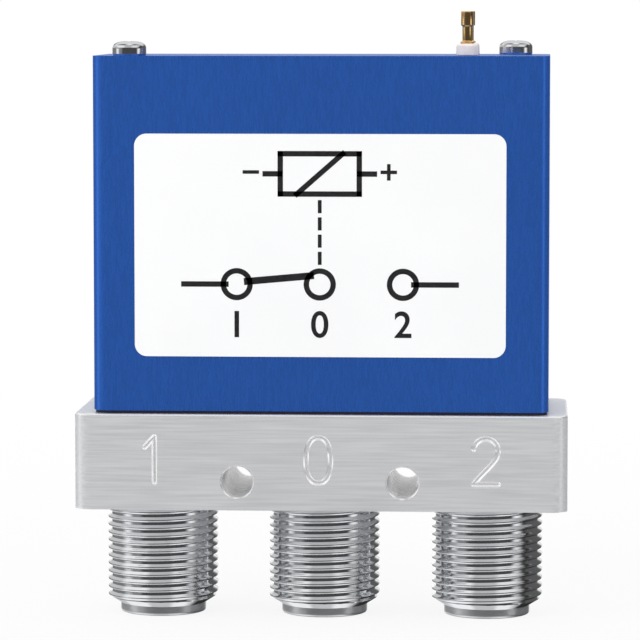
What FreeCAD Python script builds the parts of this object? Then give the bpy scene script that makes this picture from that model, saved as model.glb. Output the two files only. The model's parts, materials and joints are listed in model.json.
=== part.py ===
import FreeCAD, Part
import os
import re

import Sketcher
from FreeCAD import Placement, Rotation, Vector

# Coaxial antenna switch: a base block with three threaded jacks, a relay under a deep cover.
# Frame, in mm: X along the row of jacks, Y from front to back, Z up. The origin is on the plane
# of the jack mouths, under the middle of the base block.

# ---------------------------------------------------------------- driving sizes

SIZES = [
    # base block
    ("base_length", 69.2, "base block, along X"),
    ("base_depth", 25.0, "base block, along Y"),
    ("base_height", 13.5, "base block, along Z"),
    ("base_corner_radius", 2.0, "base block, upright edges"),
    ("base_edge_chamfer", 0.25, "base block, top and bottom edges"),
    ("mounting_hole_spacing", 23.2, "between the two mounting holes"),
    ("mounting_hole_radius", 2.25, "mounting holes, through along Y"),
    ("mounting_hole_rise", 4.0, "mounting hole axis above the underside"),
    ("mounting_hole_chamfer", 0.15, "mounting hole mouths"),
    # engraved port numbers
    ("digit_height", 7.3, "engraved numbers, overall height"),
    ("digit_width", 4.1, "engraved numbers, width of 0 and 2"),
    ("digit_stroke", 0.62, "engraved numbers, line width"),
    ("digit_depth", 0.3, "engraved numbers, depth"),
    ("digit_rise", 3.4, "engraved numbers above the underside"),
    ("digit_flag", 1.5, "reach of the flag on the 1"),
    # threaded jacks
    ("port_spacing", 23.2, "between neighbouring jacks"),
    ("jack_reach", 16.1, "jack mouth to base underside"),
    ("thread_major_radius", 7.92, "coupling thread crest"),
    ("thread_root_radius", 7.27, "coupling thread root"),
    ("thread_pitch", 1.058, "coupling thread pitch"),
    ("thread_root_flat", 0.13, "width of the thread root"),
    ("thread_half_angle", 30.0, "half the flank angle, in degrees"),
    ("tip_radius", 6.1, "smooth nose ring of a jack"),
    ("tip_length", 1.1, "length of the nose ring"),
    ("tip_rounding", 0.25, "rounding of the nose ring"),
    ("cone_length", 0.93, "cone between nose ring and thread"),
    ("mouth_radius", 4.05, "jack bore at the mouth"),
    ("mouth_depth", 9.1, "mouth to the inner step"),
    ("coax_bore_radius", 3.5, "outer conductor bore past the step"),
    ("spigot_radius", 7.0, "jack spigot in the base block"),
    ("spigot_length", 5.5, "jack spigot length"),
    ("contact_radius", 1.52, "centre contact"),
    ("contact_recess", 4.3, "mouth to the centre contact tip"),
    ("contact_socket_radius", 0.83, "socket in the centre contact"),
    ("contact_socket_depth", 5.0, "depth of that socket"),
    ("contact_slot", 0.3, "slots that make the contact springy"),
    ("contact_slot_length", 3.6, "length of those slots"),
    ("contact_neck_radius", 1.2, "contact neck inside the beads"),
    ("bead_start", 12.0, "mouth to the lower bead"),
    ("bead_length", 3.0, "lower bead"),
    ("seat_clearance", 0.02, "radial play of seated turned parts"),
    # switching cavity
    ("contact_rise", 0.6, "contact head above the cavity floor"),
    ("contact_gap", 0.05, "play between a reed and what it meets"),
    ("contact_travel", 1.2, "stroke of a reed"),
    ("reed_thickness", 0.4, "switching reed"),
    ("reed_width", 3.0, "switching reed"),
    ("reed_overhang", 1.5, "reed past the outer contact's axis"),
    ("reed_split", 0.3, "reed end to the middle contact's axis"),
    ("channel_width", 5.0, "switching cavity, along Y"),
    ("channel_end", 3.0, "cavity past the outer contact's axis"),
    ("cavity_cover_thickness", 2.7, "plate over the cavity"),
    ("cavity_cover_lap", 2.3, "plate past the cavity's end"),
    ("cavity_cover_fit", 0.05, "play around the plate"),
    ("cavity_cover_setback", 4.5, "base block past the plate, along Y"),
    ("plate_screw_inset", 5.1, "plate screws inside the end of the wide part"),
    ("plate_screw_margin", 2.0, "plate edge past its screws"),
    ("small_screw_radius", 1.0, "plate and bracket screws, thread"),
    ("small_screw_head_radius", 1.8, "plate and bracket screws, head"),
    ("plate_screw_head_height", 0.9, "countersunk head"),
    ("bracket_screw_head_height", 1.3, "bracket screw head"),
    ("small_screw_bite", 2.4, "small screw thread in the block"),
    ("screw_clearance", 0.05, "play around screw threads"),
    # push rods
    ("rod_radius", 1.0, "push rod"),
    ("rod_play", 0.05, "push rod in the plate"),
    ("rod_stub_radius", 0.6, "rod stub through the reed"),
    ("rod_foot_radius", 0.95, "staked rod foot under the reed"),
    ("rod_foot_height", 0.3, "staked rod foot"),
    ("rod_head_radius", 2.2, "rod head"),
    ("rod_head_height", 0.8, "rod head"),
    ("spring_radius", 1.65, "return spring, middle of the wire"),
    ("spring_wire_radius", 0.16, "left return spring wire"),
    ("strong_spring_wire_radius", 0.2, "right return spring wire"),
    ("spring_turns", 4.0, "turns of a return spring"),
    # rocker and its frame
    ("pivot_rise", 7.4, "pivot axis above the base block"),
    ("pivot_pin_radius", 1.0, "pivot pin"),
    ("pivot_play", 0.03, "rocker on its pin"),
    ("hub_radius", 2.3, "rocker hub"),
    ("hub_play", 0.3, "rocker hub to a bracket wall"),
    ("rocker_above", 1.6, "rocker plate top above the axis"),
    ("rocker_below", 0.6, "rocker plate underside below the axis"),
    ("rocker_overhang", 4.0, "rocker plate past the rod axis"),
    ("rocker_width", 11.0, "rocker plate, along Y"),
    ("nose_radius", 1.5, "rocker nose on a rod head"),
    ("nose_width", 4.0, "rocker nose, along Y"),
    ("bracket_width", 16.0, "bracket, along X"),
    ("bracket_foot", 1.0, "bracket foot thickness"),
    ("bracket_wall", 1.2, "bracket wall thickness"),
    ("bracket_tab_width", 5.0, "tabs that hold the yoke"),
    ("bracket_screw_end", 2.5, "bracket screws inside the foot's end"),
    ("bracket_screw_inset", 2.6, "bracket screws inside a wall"),
    ("pin_end", 0.8, "pivot pin past a bracket wall"),
    ("pin_room", 0.4, "pivot pin end to the cover"),
    ("clip_radius", 1.8, "pivot pin clip"),
    ("clip_thickness", 0.4, "pivot pin clip"),
    # magnet system
    ("core_radius", 3.5, "coil core"),
    ("core_reveal", 1.5, "core below its bobbin"),
    ("pole_gap", 0.13, "rocker to core at the stop"),
    ("bobbin_hub", 1.0, "bobbin hub wall"),
    ("bobbin_flange", 1.0, "bobbin flange thickness"),
    ("bobbin_room", 0.3, "bobbin flange to a bracket wall"),
    ("winding_inset", 0.5, "winding inside the flange edge"),
    ("magnet_room", 1.0, "magnet to a bobbin flange"),
    ("magnet_width", 10.0, "magnet and middle pole, along Y"),
    ("magnet_height", 12.0, "magnet"),
    ("hub_air_gap", 0.3, "middle pole to the rocker hub"),
    ("yoke_thickness", 2.5, "yoke plate"),
    ("yoke_end", 0.2, "yoke plate past a bobbin flange"),
    ("yoke_headroom", 6.1, "yoke plate to the cover roof"),
    ("core_screw_radius", 1.25, "core screws, thread"),
    ("core_screw_bite", 6.0, "core screw thread in a core"),
    ("core_screw_head_radius", 2.3, "core screws, head"),
    ("core_screw_head_height", 1.6, "core screws, head"),
    ("lead_radius", 0.4, "internal leads"),
    ("lead_bend", 1.2, "bend radius of the leads"),
    ("lead_room", 1.4, "lead axis outside the yoke or inside a flange edge"),
    ("lead_entry", 3.0, "lead from a bobbin flange"),
    # cover, its posts and screws
    ("cover_end_setback", 2.7, "base block past the cover, along X"),
    ("cover_setback", 0.5, "base block past the cover, along Y"),
    ("cover_height", 49.7, "cover, along Z"),
    ("cover_wall", 1.0, "cover wall"),
    ("cover_corner_radius", 2.0, "cover, upright edges"),
    ("cover_top_rounding", 0.6, "cover, edge around the roof"),
    ("gasket_thickness", 0.3, "gasket under the cover"),
    ("gasket_inset", 0.15, "gasket inside the cover's outline"),
    ("post_inset_x", 4.9, "post axis inside the cover's end"),
    ("post_inset_y", 4.5, "post axis inside the cover's face"),
    ("post_radius", 2.2, "cover post"),
    ("post_room", 0.7, "cavity plate to a post"),
    ("post_stud_radius", 1.2, "post stud in the block"),
    ("post_stud_length", 3.0, "post stud in the block"),
    ("cover_screw_radius", 1.25, "cover screw thread"),
    ("cover_screw_bite", 6.0, "cover screw thread in a post"),
    ("cover_screw_head_radius", 2.4, "cover screw head"),
    ("cover_screw_head_height", 2.0, "cover screw head"),
    ("cover_screw_rounding", 1.1, "cover screw head edge"),
    ("recess_span", 2.9, "cross recess, end to end"),
    ("recess_width", 0.7, "cross recess, width of an arm"),
    ("recess_depth", 1.1, "cross recess"),
    ("label_width", 51.8, "label"),
    ("label_height", 31.1, "label"),
    ("label_thickness", 0.12, "label"),
    ("label_rise", 7.8, "label above the cover's foot"),
    ("label_corner_radius", 1.7, "label"),
    # solder terminals
    ("terminal_inset", 11.6, "terminals inside the cover's end"),
    ("terminal_setback", 6.5, "terminals inside the cover's face"),
    ("insulator_radius", 1.63, "terminal insulator"),
    ("insulator_height", 1.65, "insulator above the roof"),
    ("insulator_rounding", 0.45, "insulator shoulder"),
    ("insulator_neck_radius", 1.2, "insulator through the roof"),
    ("insulator_collar", 1.5, "insulator under the roof"),
    ("terminal_stem_radius", 0.4, "terminal inside its insulator"),
    ("terminal_tail", 2.6, "terminal below its insulator"),
    ("terminal_flange_radius", 0.97, "terminal flange"),
    ("terminal_flange_height", 0.35, "terminal flange"),
    ("terminal_neck_radius", 0.7, "terminal neck, for the wire"),
    ("terminal_neck_height", 2.07, "terminal neck"),
    ("terminal_cap_radius", 0.95, "terminal cap"),
    ("terminal_cap_height", 2.11, "terminal cap"),
]

NAMES = "|".join(sorted((name for name, _, _ in SIZES), key=len, reverse=True))
SIZE_NAME = re.compile(rf"\b({NAMES})\b")

# Heights and places that follow from the sizes. Each one is an expression in size names.
BASE_TOP = "(jack_reach + base_height)"
BASE_FRONT = "(base_depth / 2)"
HOLE_Z = "(jack_reach + mounting_hole_rise)"
SPIGOT_TOP = "(jack_reach + spigot_length)"
CAVITY_ROOF = f"({BASE_TOP} - cavity_cover_thickness)"
CAVITY_HEIGHT = "(contact_rise + 2 * contact_gap + reed_thickness + contact_travel)"
CAVITY_FLOOR = f"({CAVITY_ROOF} - {CAVITY_HEIGHT})"
CONTACT_TOP = f"({CAVITY_FLOOR} + contact_rise)"
REED_CLOSED = f"({CONTACT_TOP} + contact_gap)"
CHANNEL_END_X = "(port_spacing + channel_end)"

THREAD_FOOT = "(tip_length + cone_length)"
FLANK_RUN = "((thread_major_radius - thread_root_radius) * tan(thread_half_angle * 1 deg))"
THREAD_TURNS = f"floor((jack_reach - {THREAD_FOOT}) / thread_pitch)"

COVER_LENGTH = "(base_length - 2 * cover_end_setback)"
COVER_DEPTH = "(base_depth - 2 * cover_setback)"
COVER_FOOT = f"({BASE_TOP} + gasket_thickness)"
COVER_TOP = f"({COVER_FOOT} + cover_height)"
ROOF_UNDERSIDE = f"({COVER_TOP} - cover_wall)"
COVER_INSIDE_Y = f"({COVER_DEPTH} / 2 - cover_wall)"
POST_X = f"({COVER_LENGTH} / 2 - post_inset_x)"
POST_Y = f"({COVER_DEPTH} / 2 - post_inset_y)"
TERMINAL_X = f"({COVER_LENGTH} / 2 - terminal_inset)"
TERMINAL_Y = f"({COVER_DEPTH} / 2 - terminal_setback)"

PLATE_WIDE_X = f"({POST_X} - post_radius - post_room)"
PLATE_WIDE_Y = f"({BASE_FRONT} - cavity_cover_setback)"
PLATE_LONG_X = f"({CHANNEL_END_X} + cavity_cover_lap)"
PLATE_LONG_Y = f"({POST_Y} - post_radius - post_room)"
PLATE_SCREW_X = f"({PLATE_WIDE_X} - plate_screw_inset)"
PLATE_SCREW_Y = f"({PLATE_WIDE_Y} - plate_screw_margin)"

ROCKER_ARM = "((port_spacing + reed_overhang + reed_split) / 2)"
REED_LENGTH = "(port_spacing + reed_overhang - reed_split)"
PIVOT_Z = f"({BASE_TOP} + pivot_rise)"
ROCKER_TILT = f"asin(contact_travel / 2 / {ROCKER_ARM})"
ROD_TOP_CLOSED = f"({PIVOT_Z} - contact_travel / 2 - nose_radius - contact_gap)"
ROD_HEAD_UNDERSIDE = f"({ROD_TOP_CLOSED} - rod_head_height)"

PIN_END_Y = f"({COVER_INSIDE_Y} - pin_room)"
BRACKET_OUT_Y = f"({PIN_END_Y} - pin_end)"
BRACKET_IN_Y = f"({BRACKET_OUT_Y} - bracket_wall)"
FLANGE_RADIUS = f"({BRACKET_IN_Y} - bobbin_room)"
WINDING_RADIUS = f"({FLANGE_RADIUS} - winding_inset)"
FOOT_TOP = f"({BASE_TOP} + bracket_foot)"
POLE_FACE = (
    f"({PIVOT_Z} + rocker_above + pole_gap"
    f" + ({ROCKER_ARM} + core_radius) * contact_travel / 2 / {ROCKER_ARM})"
)
BOBBIN_FOOT = f"({POLE_FACE} + core_reveal)"
YOKE_TOP = f"({ROOF_UNDERSIDE} - yoke_headroom)"
YOKE_FOOT = f"({YOKE_TOP} - yoke_thickness)"
YOKE_END_X = f"({ROCKER_ARM} + {FLANGE_RADIUS} + yoke_end)"
MAGNET_HALF_X = f"({ROCKER_ARM} - {FLANGE_RADIUS} - magnet_room)"
MAGNET_FOOT = f"({YOKE_FOOT} - magnet_height)"
BOBBIN_BORE = "(core_radius + seat_clearance)"
BOBBIN_HUB_RADIUS = f"({BOBBIN_BORE} + bobbin_hub)"

CUT_MARGIN = 0.2
NO_CHANGE = 1e-6
CLOSE = 1e-4

doc = FreeCAD.newDocument("CoaxialSwitch")
sheet = doc.addObject("Spreadsheet::Sheet", "Sizes")
nodes = []


# ---------------------------------------------------------------- building helpers

def fill_sheet():
    for row, (name, size, meaning) in enumerate(SIZES, start=1):
        sheet.set(f"A{row}", name)
        sheet.set(f"B{row}", str(size))
        sheet.set(f"C{row}", meaning)
        sheet.setAlias(f"B{row}", name)
    doc.recompute()


def bound(expression):
    """The expression with each size name pointing at its cell."""
    return SIZE_NAME.sub(r"Sizes.\1", expression)


def value(expression):
    result = sheet.evalExpression(bound(expression))
    return float(getattr(result, "Value", result))


def bind(target, path, expression):
    target.setExpression(path, bound(expression))


def keep(piece, label):
    """Names a finished sub-part and puts it on the list that is written out."""
    piece.Label = label
    nodes.append(piece)
    return piece


def new_body(name):
    return doc.addObject("PartDesign::Body", name)


def place(piece, x="0", y="0", z="0"):
    bind(piece, "Placement.Base.x", x)
    bind(piece, "Placement.Base.y", y)
    bind(piece, "Placement.Base.z", z)
    return piece


def new_sketch(body, role, raised="0"):
    """A sketch on one of the body's own origin planes, raised along the plane's normal."""
    sketch = body.newObject("Sketcher::SketchObject", body.Name + "_sketch")
    plane = next(f for f in body.Origin.OriginFeatures if f.Role == role)
    sketch.AttachmentSupport = [(plane, "")]
    sketch.MapMode = "FlatFace"
    bind(sketch, "AttachmentOffset.Base.z", raised)
    return sketch


def fix_point(sketch, geometry, point, across, up):
    for kind, expression in (("DistanceX", across), ("DistanceY", up)):
        rule = Sketcher.Constraint(kind, -1, 1, geometry, point, value(expression))
        index = sketch.addConstraint(rule)
        bind(sketch, f"Constraints[{index}]", expression)


def outline(body, role, loops, raised="0"):
    """A sketch of closed straight-sided loops, with every corner bound to the sizes."""
    sketch = new_sketch(body, role, raised)
    for corners in loops:
        first = sketch.GeometryCount
        spots = [Vector(value(across), value(up), 0) for across, up in corners]
        for start, end in zip(spots, spots[1:] + spots[:1]):
            sketch.addGeometry(Part.LineSegment(start, end), False)
        for number, (across, up) in enumerate(corners):
            previous = first + (number - 1) % len(corners)
            sketch.addConstraint(Sketcher.Constraint("Coincident", previous, 2, first + number, 1))
            fix_point(sketch, first + number, 1, across, up)
    return sketch


def rectangle(half_x, half_y, x="0", y="0"):
    return [
        (f"{x} - {half_x}", f"{y} - {half_y}"),
        (f"{x} + {half_x}", f"{y} - {half_y}"),
        (f"{x} + {half_x}", f"{y} + {half_y}"),
        (f"{x} - {half_x}", f"{y} + {half_y}"),
    ]


def circles(body, role, spots, radius, raised="0"):
    sketch = new_sketch(body, role, raised)
    for across, up in spots:
        centre = Vector(value(across), value(up), 0)
        ring = sketch.addGeometry(Part.Circle(centre, Vector(0, 0, 1), value(radius)), False)
        fix_point(sketch, ring, 3, across, up)
        index = sketch.addConstraint(Sketcher.Constraint("Radius", ring, value(radius)))
        bind(sketch, f"Constraints[{index}]", radius)
    return sketch


def pad(body, sketch, length, symmetric=False):
    feature = body.newObject("PartDesign::Pad", body.Name + "_pad")
    feature.Profile = sketch
    feature.SideType = "Symmetric" if symmetric else "One side"
    bind(feature, "Length", length)
    doc.recompute()
    return feature


def check_cut(body, volume_before):
    doc.recompute()
    if body.Shape.Volume > volume_before - NO_CHANGE:
        raise RuntimeError(f"a cut in {body.Name} removed nothing")


def pocket(body, sketch, depth=None, upward=False):
    """Cuts along the sketch's normal, or both ways through everything when no depth is given."""
    doc.recompute()
    volume_before = body.Shape.Volume
    feature = body.newObject("PartDesign::Pocket", body.Name + "_pocket")
    feature.Profile = sketch
    feature.Reversed = upward
    if depth is None:
        feature.SideType = "Symmetric"
        feature.Type = "ThroughAll"
    else:
        bind(feature, "Length", depth)
    check_cut(body, volume_before)
    return feature


def revolve(body, profile):
    sketch = outline(body, "XZ_Plane", [profile])
    feature = body.newObject("PartDesign::Revolution", body.Name + "_turned")
    feature.Profile = sketch
    feature.ReferenceAxis = (sketch, ["V_Axis"])
    feature.Angle = 360
    doc.recompute()
    return feature


def turned(name, profile, x="0", y="0", z="0"):
    """A round piece from its (radius, height) outline, standing at x, y, z."""
    body = new_body(name)
    revolve(body, profile)
    return place(body, x, y, z)


def ring_profile(inner, outer, low, high):
    return [(inner, low), (outer, low), (outer, high), (inner, high)]


def dress(body, kind, size_name, test, size):
    """A fillet or chamfer on the edges of the body's last feature that pass the test."""
    doc.recompute()
    tip = body.Tip
    picked = [f"Edge{i}" for i, edge in enumerate(tip.Shape.Edges, start=1) if test(edge)]
    if not picked:
        raise RuntimeError(f"no edge of {body.Name} to dress with {size}")
    feature = body.newObject("PartDesign::" + kind, f"{body.Name}_{kind.lower()}")
    feature.Base = (tip, picked)
    bind(feature, size_name, size)
    doc.recompute()
    return feature


def fillet(body, test, radius):
    return dress(body, "Fillet", "Radius", test, radius)


def chamfer(body, test, size):
    return dress(body, "Chamfer", "Size", test, size)


def is_upright(edge):
    return edge.BoundBox.XLength < CLOSE and edge.BoundBox.YLength < CLOSE


def at_height(edge, expression):
    level = value(expression)
    return abs(edge.BoundBox.ZMin - level) < CLOSE and abs(edge.BoundBox.ZMax - level) < CLOSE


def cross_recess(body, top):
    half_span = "recess_span / 2"
    half_arm = "recess_width / 2"
    cross = [
        (f"{sign_x}{first}", f"{sign_y}{second}")
        for sign_x, first, sign_y, second in (
            ("", half_span, "-", half_arm), ("", half_span, "", half_arm),
            ("", half_arm, "", half_arm), ("", half_arm, "", half_span),
            ("-", half_arm, "", half_span), ("-", half_arm, "", half_arm),
            ("-", half_span, "", half_arm), ("-", half_span, "-", half_arm),
            ("-", half_arm, "-", half_arm), ("-", half_arm, "-", half_span),
            ("", half_arm, "-", half_span), ("", half_arm, "-", half_arm),
        )
    ]
    pocket(body, outline(body, "XY_Plane", [cross], top), "recess_depth")


def group(label, members):
    """Like pieces that share one node, each still a solid of its own."""
    compound = doc.addObject("Part::Compound", label)
    compound.Links = members
    return keep(compound, label)


def box(label, half_x, half_y, low, high):
    """A rectangular piece centred on the Z axis, between two heights."""
    piece = doc.addObject("Part::Box", label)
    bind(piece, "Length", f"2 * {half_x}")
    bind(piece, "Width", f"2 * {half_y}")
    bind(piece, "Height", f"{high} - {low}")
    place(piece, f"-{half_x}", f"-{half_y}", low)
    return keep(piece, label)


def both_ways(across, up):
    return [(f"{a}{across}", f"{b}{up}") for a in ("-", "") for b in ("-", "")]


# ---------------------------------------------------------------- base block

PORTS = (("1", "-port_spacing"), ("0", "0"), ("2", "port_spacing"))
POST_SPOTS = [(f"-{POST_X}", f"-{POST_Y}"), (POST_X, POST_Y)]
PLATE_SCREWS = both_ways(PLATE_SCREW_X, PLATE_SCREW_Y)
BRACKET_SCREWS = both_ways(
    "(bracket_width / 2 - bracket_screw_end)", f"({BRACKET_IN_Y} - bracket_screw_inset)"
)
ROD_SPOTS = [(f"-{ROCKER_ARM}", "0"), (ROCKER_ARM, "0")]


def plate_outline(margin):
    """The cavity plate: long and narrow between the posts, wide in the middle."""
    wide_x, wide_y = f"({PLATE_WIDE_X} + {margin})", f"({PLATE_WIDE_Y} + {margin})"
    long_x, long_y = f"({PLATE_LONG_X} + {margin})", f"({PLATE_LONG_Y} + {margin})"
    return [
        (f"-{long_x}", f"-{long_y}"), (f"-{wide_x}", f"-{long_y}"),
        (f"-{wide_x}", f"-{wide_y}"), (wide_x, f"-{wide_y}"),
        (wide_x, f"-{long_y}"), (long_x, f"-{long_y}"),
        (long_x, long_y), (wide_x, long_y),
        (wide_x, wide_y), (f"-{wide_x}", wide_y),
        (f"-{wide_x}", long_y), (f"-{long_x}", long_y),
    ]


def engrave_one(body, centre):
    """A stem with a flag that falls to the left from its top."""
    half = "digit_stroke / 2"
    foot = "(jack_reach + digit_rise)"
    head = f"({foot} + digit_height)"
    corners = [
        (f"{centre} - {half}", foot), (f"{centre} + {half}", foot),
        (f"{centre} + {half}", head), (f"{centre} - {half}", head),
        (f"{centre} - {half} - digit_flag", f"{head} - digit_flag - {half}"),
        (f"{centre} - digit_flag", f"{head} - digit_flag - digit_stroke"),
        (f"{centre} - {half}", f"{head} - digit_stroke * 1.5"),
    ]
    pocket(body, outline(body, "XZ_Plane", [corners], BASE_FRONT), "digit_depth")


def add_ellipse(sketch, centre, level, half_width, half_height):
    """An upright ellipse: its centre and the ends of its two axes are bound to the sizes."""
    middle = Vector(value(centre), value(level), 0)
    major = middle + Vector(0, value(half_height), 0)
    minor = middle + Vector(value(half_width), 0, 0)
    ring = sketch.addGeometry(Part.Ellipse(major, minor, middle), False)
    sketch.exposeInternalGeometry(ring)
    fix_point(sketch, ring, 3, centre, level)
    fix_point(sketch, ring + 1, 1, centre, f"{level} + {half_height}")
    index = sketch.addConstraint(
        Sketcher.Constraint("DistanceX", -1, 1, ring + 2, 2, value(f"{centre} + {half_width}"))
    )
    bind(sketch, f"Constraints[{index}]", f"{centre} + {half_width}")


def engrave_zero(body, centre):
    sketch = new_sketch(body, "XZ_Plane", BASE_FRONT)
    level = "(jack_reach + digit_rise + digit_height / 2)"
    for inset in ("0", "digit_stroke"):
        add_ellipse(
            sketch, centre, level, f"(digit_width / 2 - {inset})", f"(digit_height / 2 - {inset})"
        )
    pocket(body, sketch, "digit_depth")


def engrave_two(body, centre):
    """A bow of three quarters of a ring, a slanting stroke and a foot."""
    half = "digit_stroke / 2"
    foot = "(jack_reach + digit_rise)"
    bow_radius = f"(digit_width / 2 - {half})"
    bow_level = f"({foot} + digit_height - digit_width / 2)"
    left, right = f"({centre} - digit_width / 2)", f"({centre} + digit_width / 2)"
    slant = [
        (left, foot), (right, foot), (right, f"{foot} + digit_stroke"),
        (f"{left} + digit_stroke * 1.3", f"{foot} + digit_stroke"),
        (f"{centre} + {bow_radius} * 0.8 + {half}", f"{bow_level} - {bow_radius} * 0.6"),
        (f"{centre} + {bow_radius} * 0.8 - {half}", f"{bow_level} - {bow_radius} * 0.6 + {half}"),
    ]
    pocket(body, outline(body, "XZ_Plane", [slant], BASE_FRONT), "digit_depth")
    doc.recompute()
    volume_before = body.Shape.Volume
    section = [
        (f"{bow_radius} - {half}", f"-{BASE_FRONT} - digit_stroke"),
        (f"{bow_radius} + {half}", f"-{BASE_FRONT} - digit_stroke"),
        (f"{bow_radius} + {half}", f"-{BASE_FRONT} + digit_depth"),
        (f"{bow_radius} - {half}", f"-{BASE_FRONT} + digit_depth"),
    ]
    sketch = outline(body, "XY_Plane", [section], bow_level)
    bind(sketch, "AttachmentOffset.Base.x", centre)
    feature = body.newObject("PartDesign::Groove", body.Name + "_bow")
    feature.Profile = sketch
    feature.ReferenceAxis = (sketch, ["V_Axis"])
    feature.Type = "TwoAngles"
    feature.Angle = 36
    feature.Angle2 = 160
    check_cut(body, volume_before)


def make_base_block():
    body = new_body("rf_body")
    pad(body, outline(body, "XY_Plane", [rectangle("base_length / 2", "base_depth / 2")],
                      "jack_reach"), "base_height")
    fillet(body, is_upright, "base_corner_radius")
    chamfer(body, lambda e: at_height(e, BASE_TOP) or at_height(e, "jack_reach"),
            "base_edge_chamfer")
    hole_x = "mounting_hole_spacing / 2"
    holes = circles(body, "XZ_Plane", [(f"-{hole_x}", HOLE_Z), (hole_x, HOLE_Z)],
                    "mounting_hole_radius")
    pocket(body, holes)
    chamfer(body, is_hole_mouth, "mounting_hole_chamfer")
    port_spots = [(x, "0") for _, x in PORTS]
    spigots = circles(body, "XY_Plane", port_spots, "spigot_radius + seat_clearance",
                      "jack_reach")
    pocket(body, spigots, "spigot_length", upward=True)
    bores = circles(body, "XY_Plane", port_spots, "coax_bore_radius", "jack_reach")
    pocket(body, bores, f"{CAVITY_FLOOR} - jack_reach", upward=True)
    recess = outline(body, "XY_Plane", [plate_outline("cavity_cover_fit")], BASE_TOP)
    pocket(body, recess, "cavity_cover_thickness")
    channel = outline(body, "XY_Plane", [rectangle(CHANNEL_END_X, "channel_width / 2")],
                      CAVITY_ROOF)
    pocket(body, channel, CAVITY_HEIGHT)
    studs = circles(body, "XY_Plane", POST_SPOTS, "post_stud_radius + screw_clearance", BASE_TOP)
    pocket(body, studs, "post_stud_length + screw_clearance")
    taps = circles(body, "XY_Plane", PLATE_SCREWS + BRACKET_SCREWS,
                   "small_screw_radius + screw_clearance", CAVITY_ROOF)
    pocket(body, taps, "small_screw_bite + screw_clearance")
    engrave_one(body, "-port_spacing")
    engrave_zero(body, "0")
    engrave_two(body, "port_spacing")
    keep(body, "rf_body")


def is_hole_mouth(edge):
    """A rim of a mounting hole, on the front or the back face."""
    if edge.Curve.TypeId != "Part::GeomCircle":
        return False
    on_face = abs(abs(edge.Curve.Center.y) - value(BASE_FRONT)) < CLOSE
    return on_face and edge.BoundBox.YLength < CLOSE


# ---------------------------------------------------------------- jacks

def make_shell(port, x):
    body = new_body(f"jack_{port}_shell")
    rise = f"(thread_root_flat / 2 + {FLANK_RUN})"
    revolve(body, [
        ("mouth_radius + tip_rounding", "0"), ("tip_radius - tip_rounding", "0"),
        ("tip_radius", "tip_rounding"), ("tip_radius", "tip_length"),
        ("thread_root_radius", THREAD_FOOT),
        ("thread_root_radius", f"{THREAD_FOOT} + thread_root_flat / 2"),
        ("thread_major_radius", f"{THREAD_FOOT} + {rise}"),
        ("thread_major_radius", "jack_reach"), ("spigot_radius", "jack_reach"),
        ("spigot_radius", SPIGOT_TOP), ("coax_bore_radius", SPIGOT_TOP),
        ("coax_bore_radius", "mouth_depth"), ("mouth_radius", "mouth_depth"),
        ("mouth_radius", "tip_rounding"),
    ])
    cut_thread(body)
    keep(place(body, x), f"jack_{port}_shell")


def cut_thread(body):
    """Level V grooves at the thread's pitch, with the crest flats left between them."""
    volume_before = body.Shape.Volume
    middle = f"({THREAD_FOOT} + thread_pitch)"
    reach = f"{CUT_MARGIN} * tan(thread_half_angle * 1 deg)"
    half_root = "thread_root_flat / 2"
    sketch = outline(body, "XZ_Plane", [[
        ("thread_root_radius", f"{middle} - {half_root}"),
        (f"thread_major_radius + {CUT_MARGIN}", f"{middle} - {half_root} - {FLANK_RUN} - {reach}"),
        (f"thread_major_radius + {CUT_MARGIN}", f"{middle} + {half_root} + {FLANK_RUN} + {reach}"),
        ("thread_root_radius", f"{middle} + {half_root}"),
    ]])
    groove = body.newObject("PartDesign::Groove", body.Name + "_groove")
    groove.Profile = sketch
    groove.ReferenceAxis = (sketch, ["V_Axis"])
    groove.Angle = 360
    check_cut(body, volume_before)
    turns = body.newObject("PartDesign::LinearPattern", body.Name + "_turns")
    turns.Originals = [groove]
    turns.Direction = (sketch, ["V_Axis"])
    turns.Mode = "Spacing"
    bind(turns, "Offset", "thread_pitch")
    bind(turns, "Occurrences", THREAD_TURNS)
    body.Tip = turns
    doc.recompute()


def make_contact(port, x):
    """Slotted socket at the mouth, necks inside both beads, flat head in the cavity."""
    body = new_body(f"jack_{port}_contact")
    bead_top = "bead_start + bead_length"
    revolve(body, [
        ("contact_socket_radius", "contact_recess"), ("contact_radius", "contact_recess"),
        ("contact_radius", "bead_start"), ("contact_neck_radius", "bead_start"),
        ("contact_neck_radius", bead_top), ("contact_radius", bead_top),
        ("contact_radius", SPIGOT_TOP), ("contact_neck_radius", SPIGOT_TOP),
        ("contact_neck_radius", CAVITY_FLOOR), ("contact_radius", CAVITY_FLOOR),
        ("contact_radius", CONTACT_TOP), ("0", CONTACT_TOP),
        ("0", "contact_recess + contact_socket_depth"),
        ("contact_socket_radius", "contact_recess + contact_socket_depth"),
    ])
    half = "contact_slot / 2"
    low, high = f"contact_recess - {CUT_MARGIN}", "contact_recess + contact_slot_length"
    slot = [(f"-{half}", low), (half, low), (half, high), (f"-{half}", high)]
    for role in ("XZ_Plane", "YZ_Plane"):
        pocket(body, outline(body, role, [slot]))
    keep(place(body, x), f"jack_{port}_contact")


def make_beads(port, x):
    inner = "contact_neck_radius + seat_clearance"
    outer = "coax_bore_radius - seat_clearance"
    lower = turned(f"jack_{port}_bead",
                   ring_profile(inner, outer, "bead_start", "bead_start + bead_length"), x)
    upper = turned(f"jack_{port}_upper_bead",
                   ring_profile(inner, outer, SPIGOT_TOP, CAVITY_FLOOR), x)
    keep(lower, f"jack_{port}_bead")
    keep(upper, f"jack_{port}_upper_bead")


# ---------------------------------------------------------------- switching cavity

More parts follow.
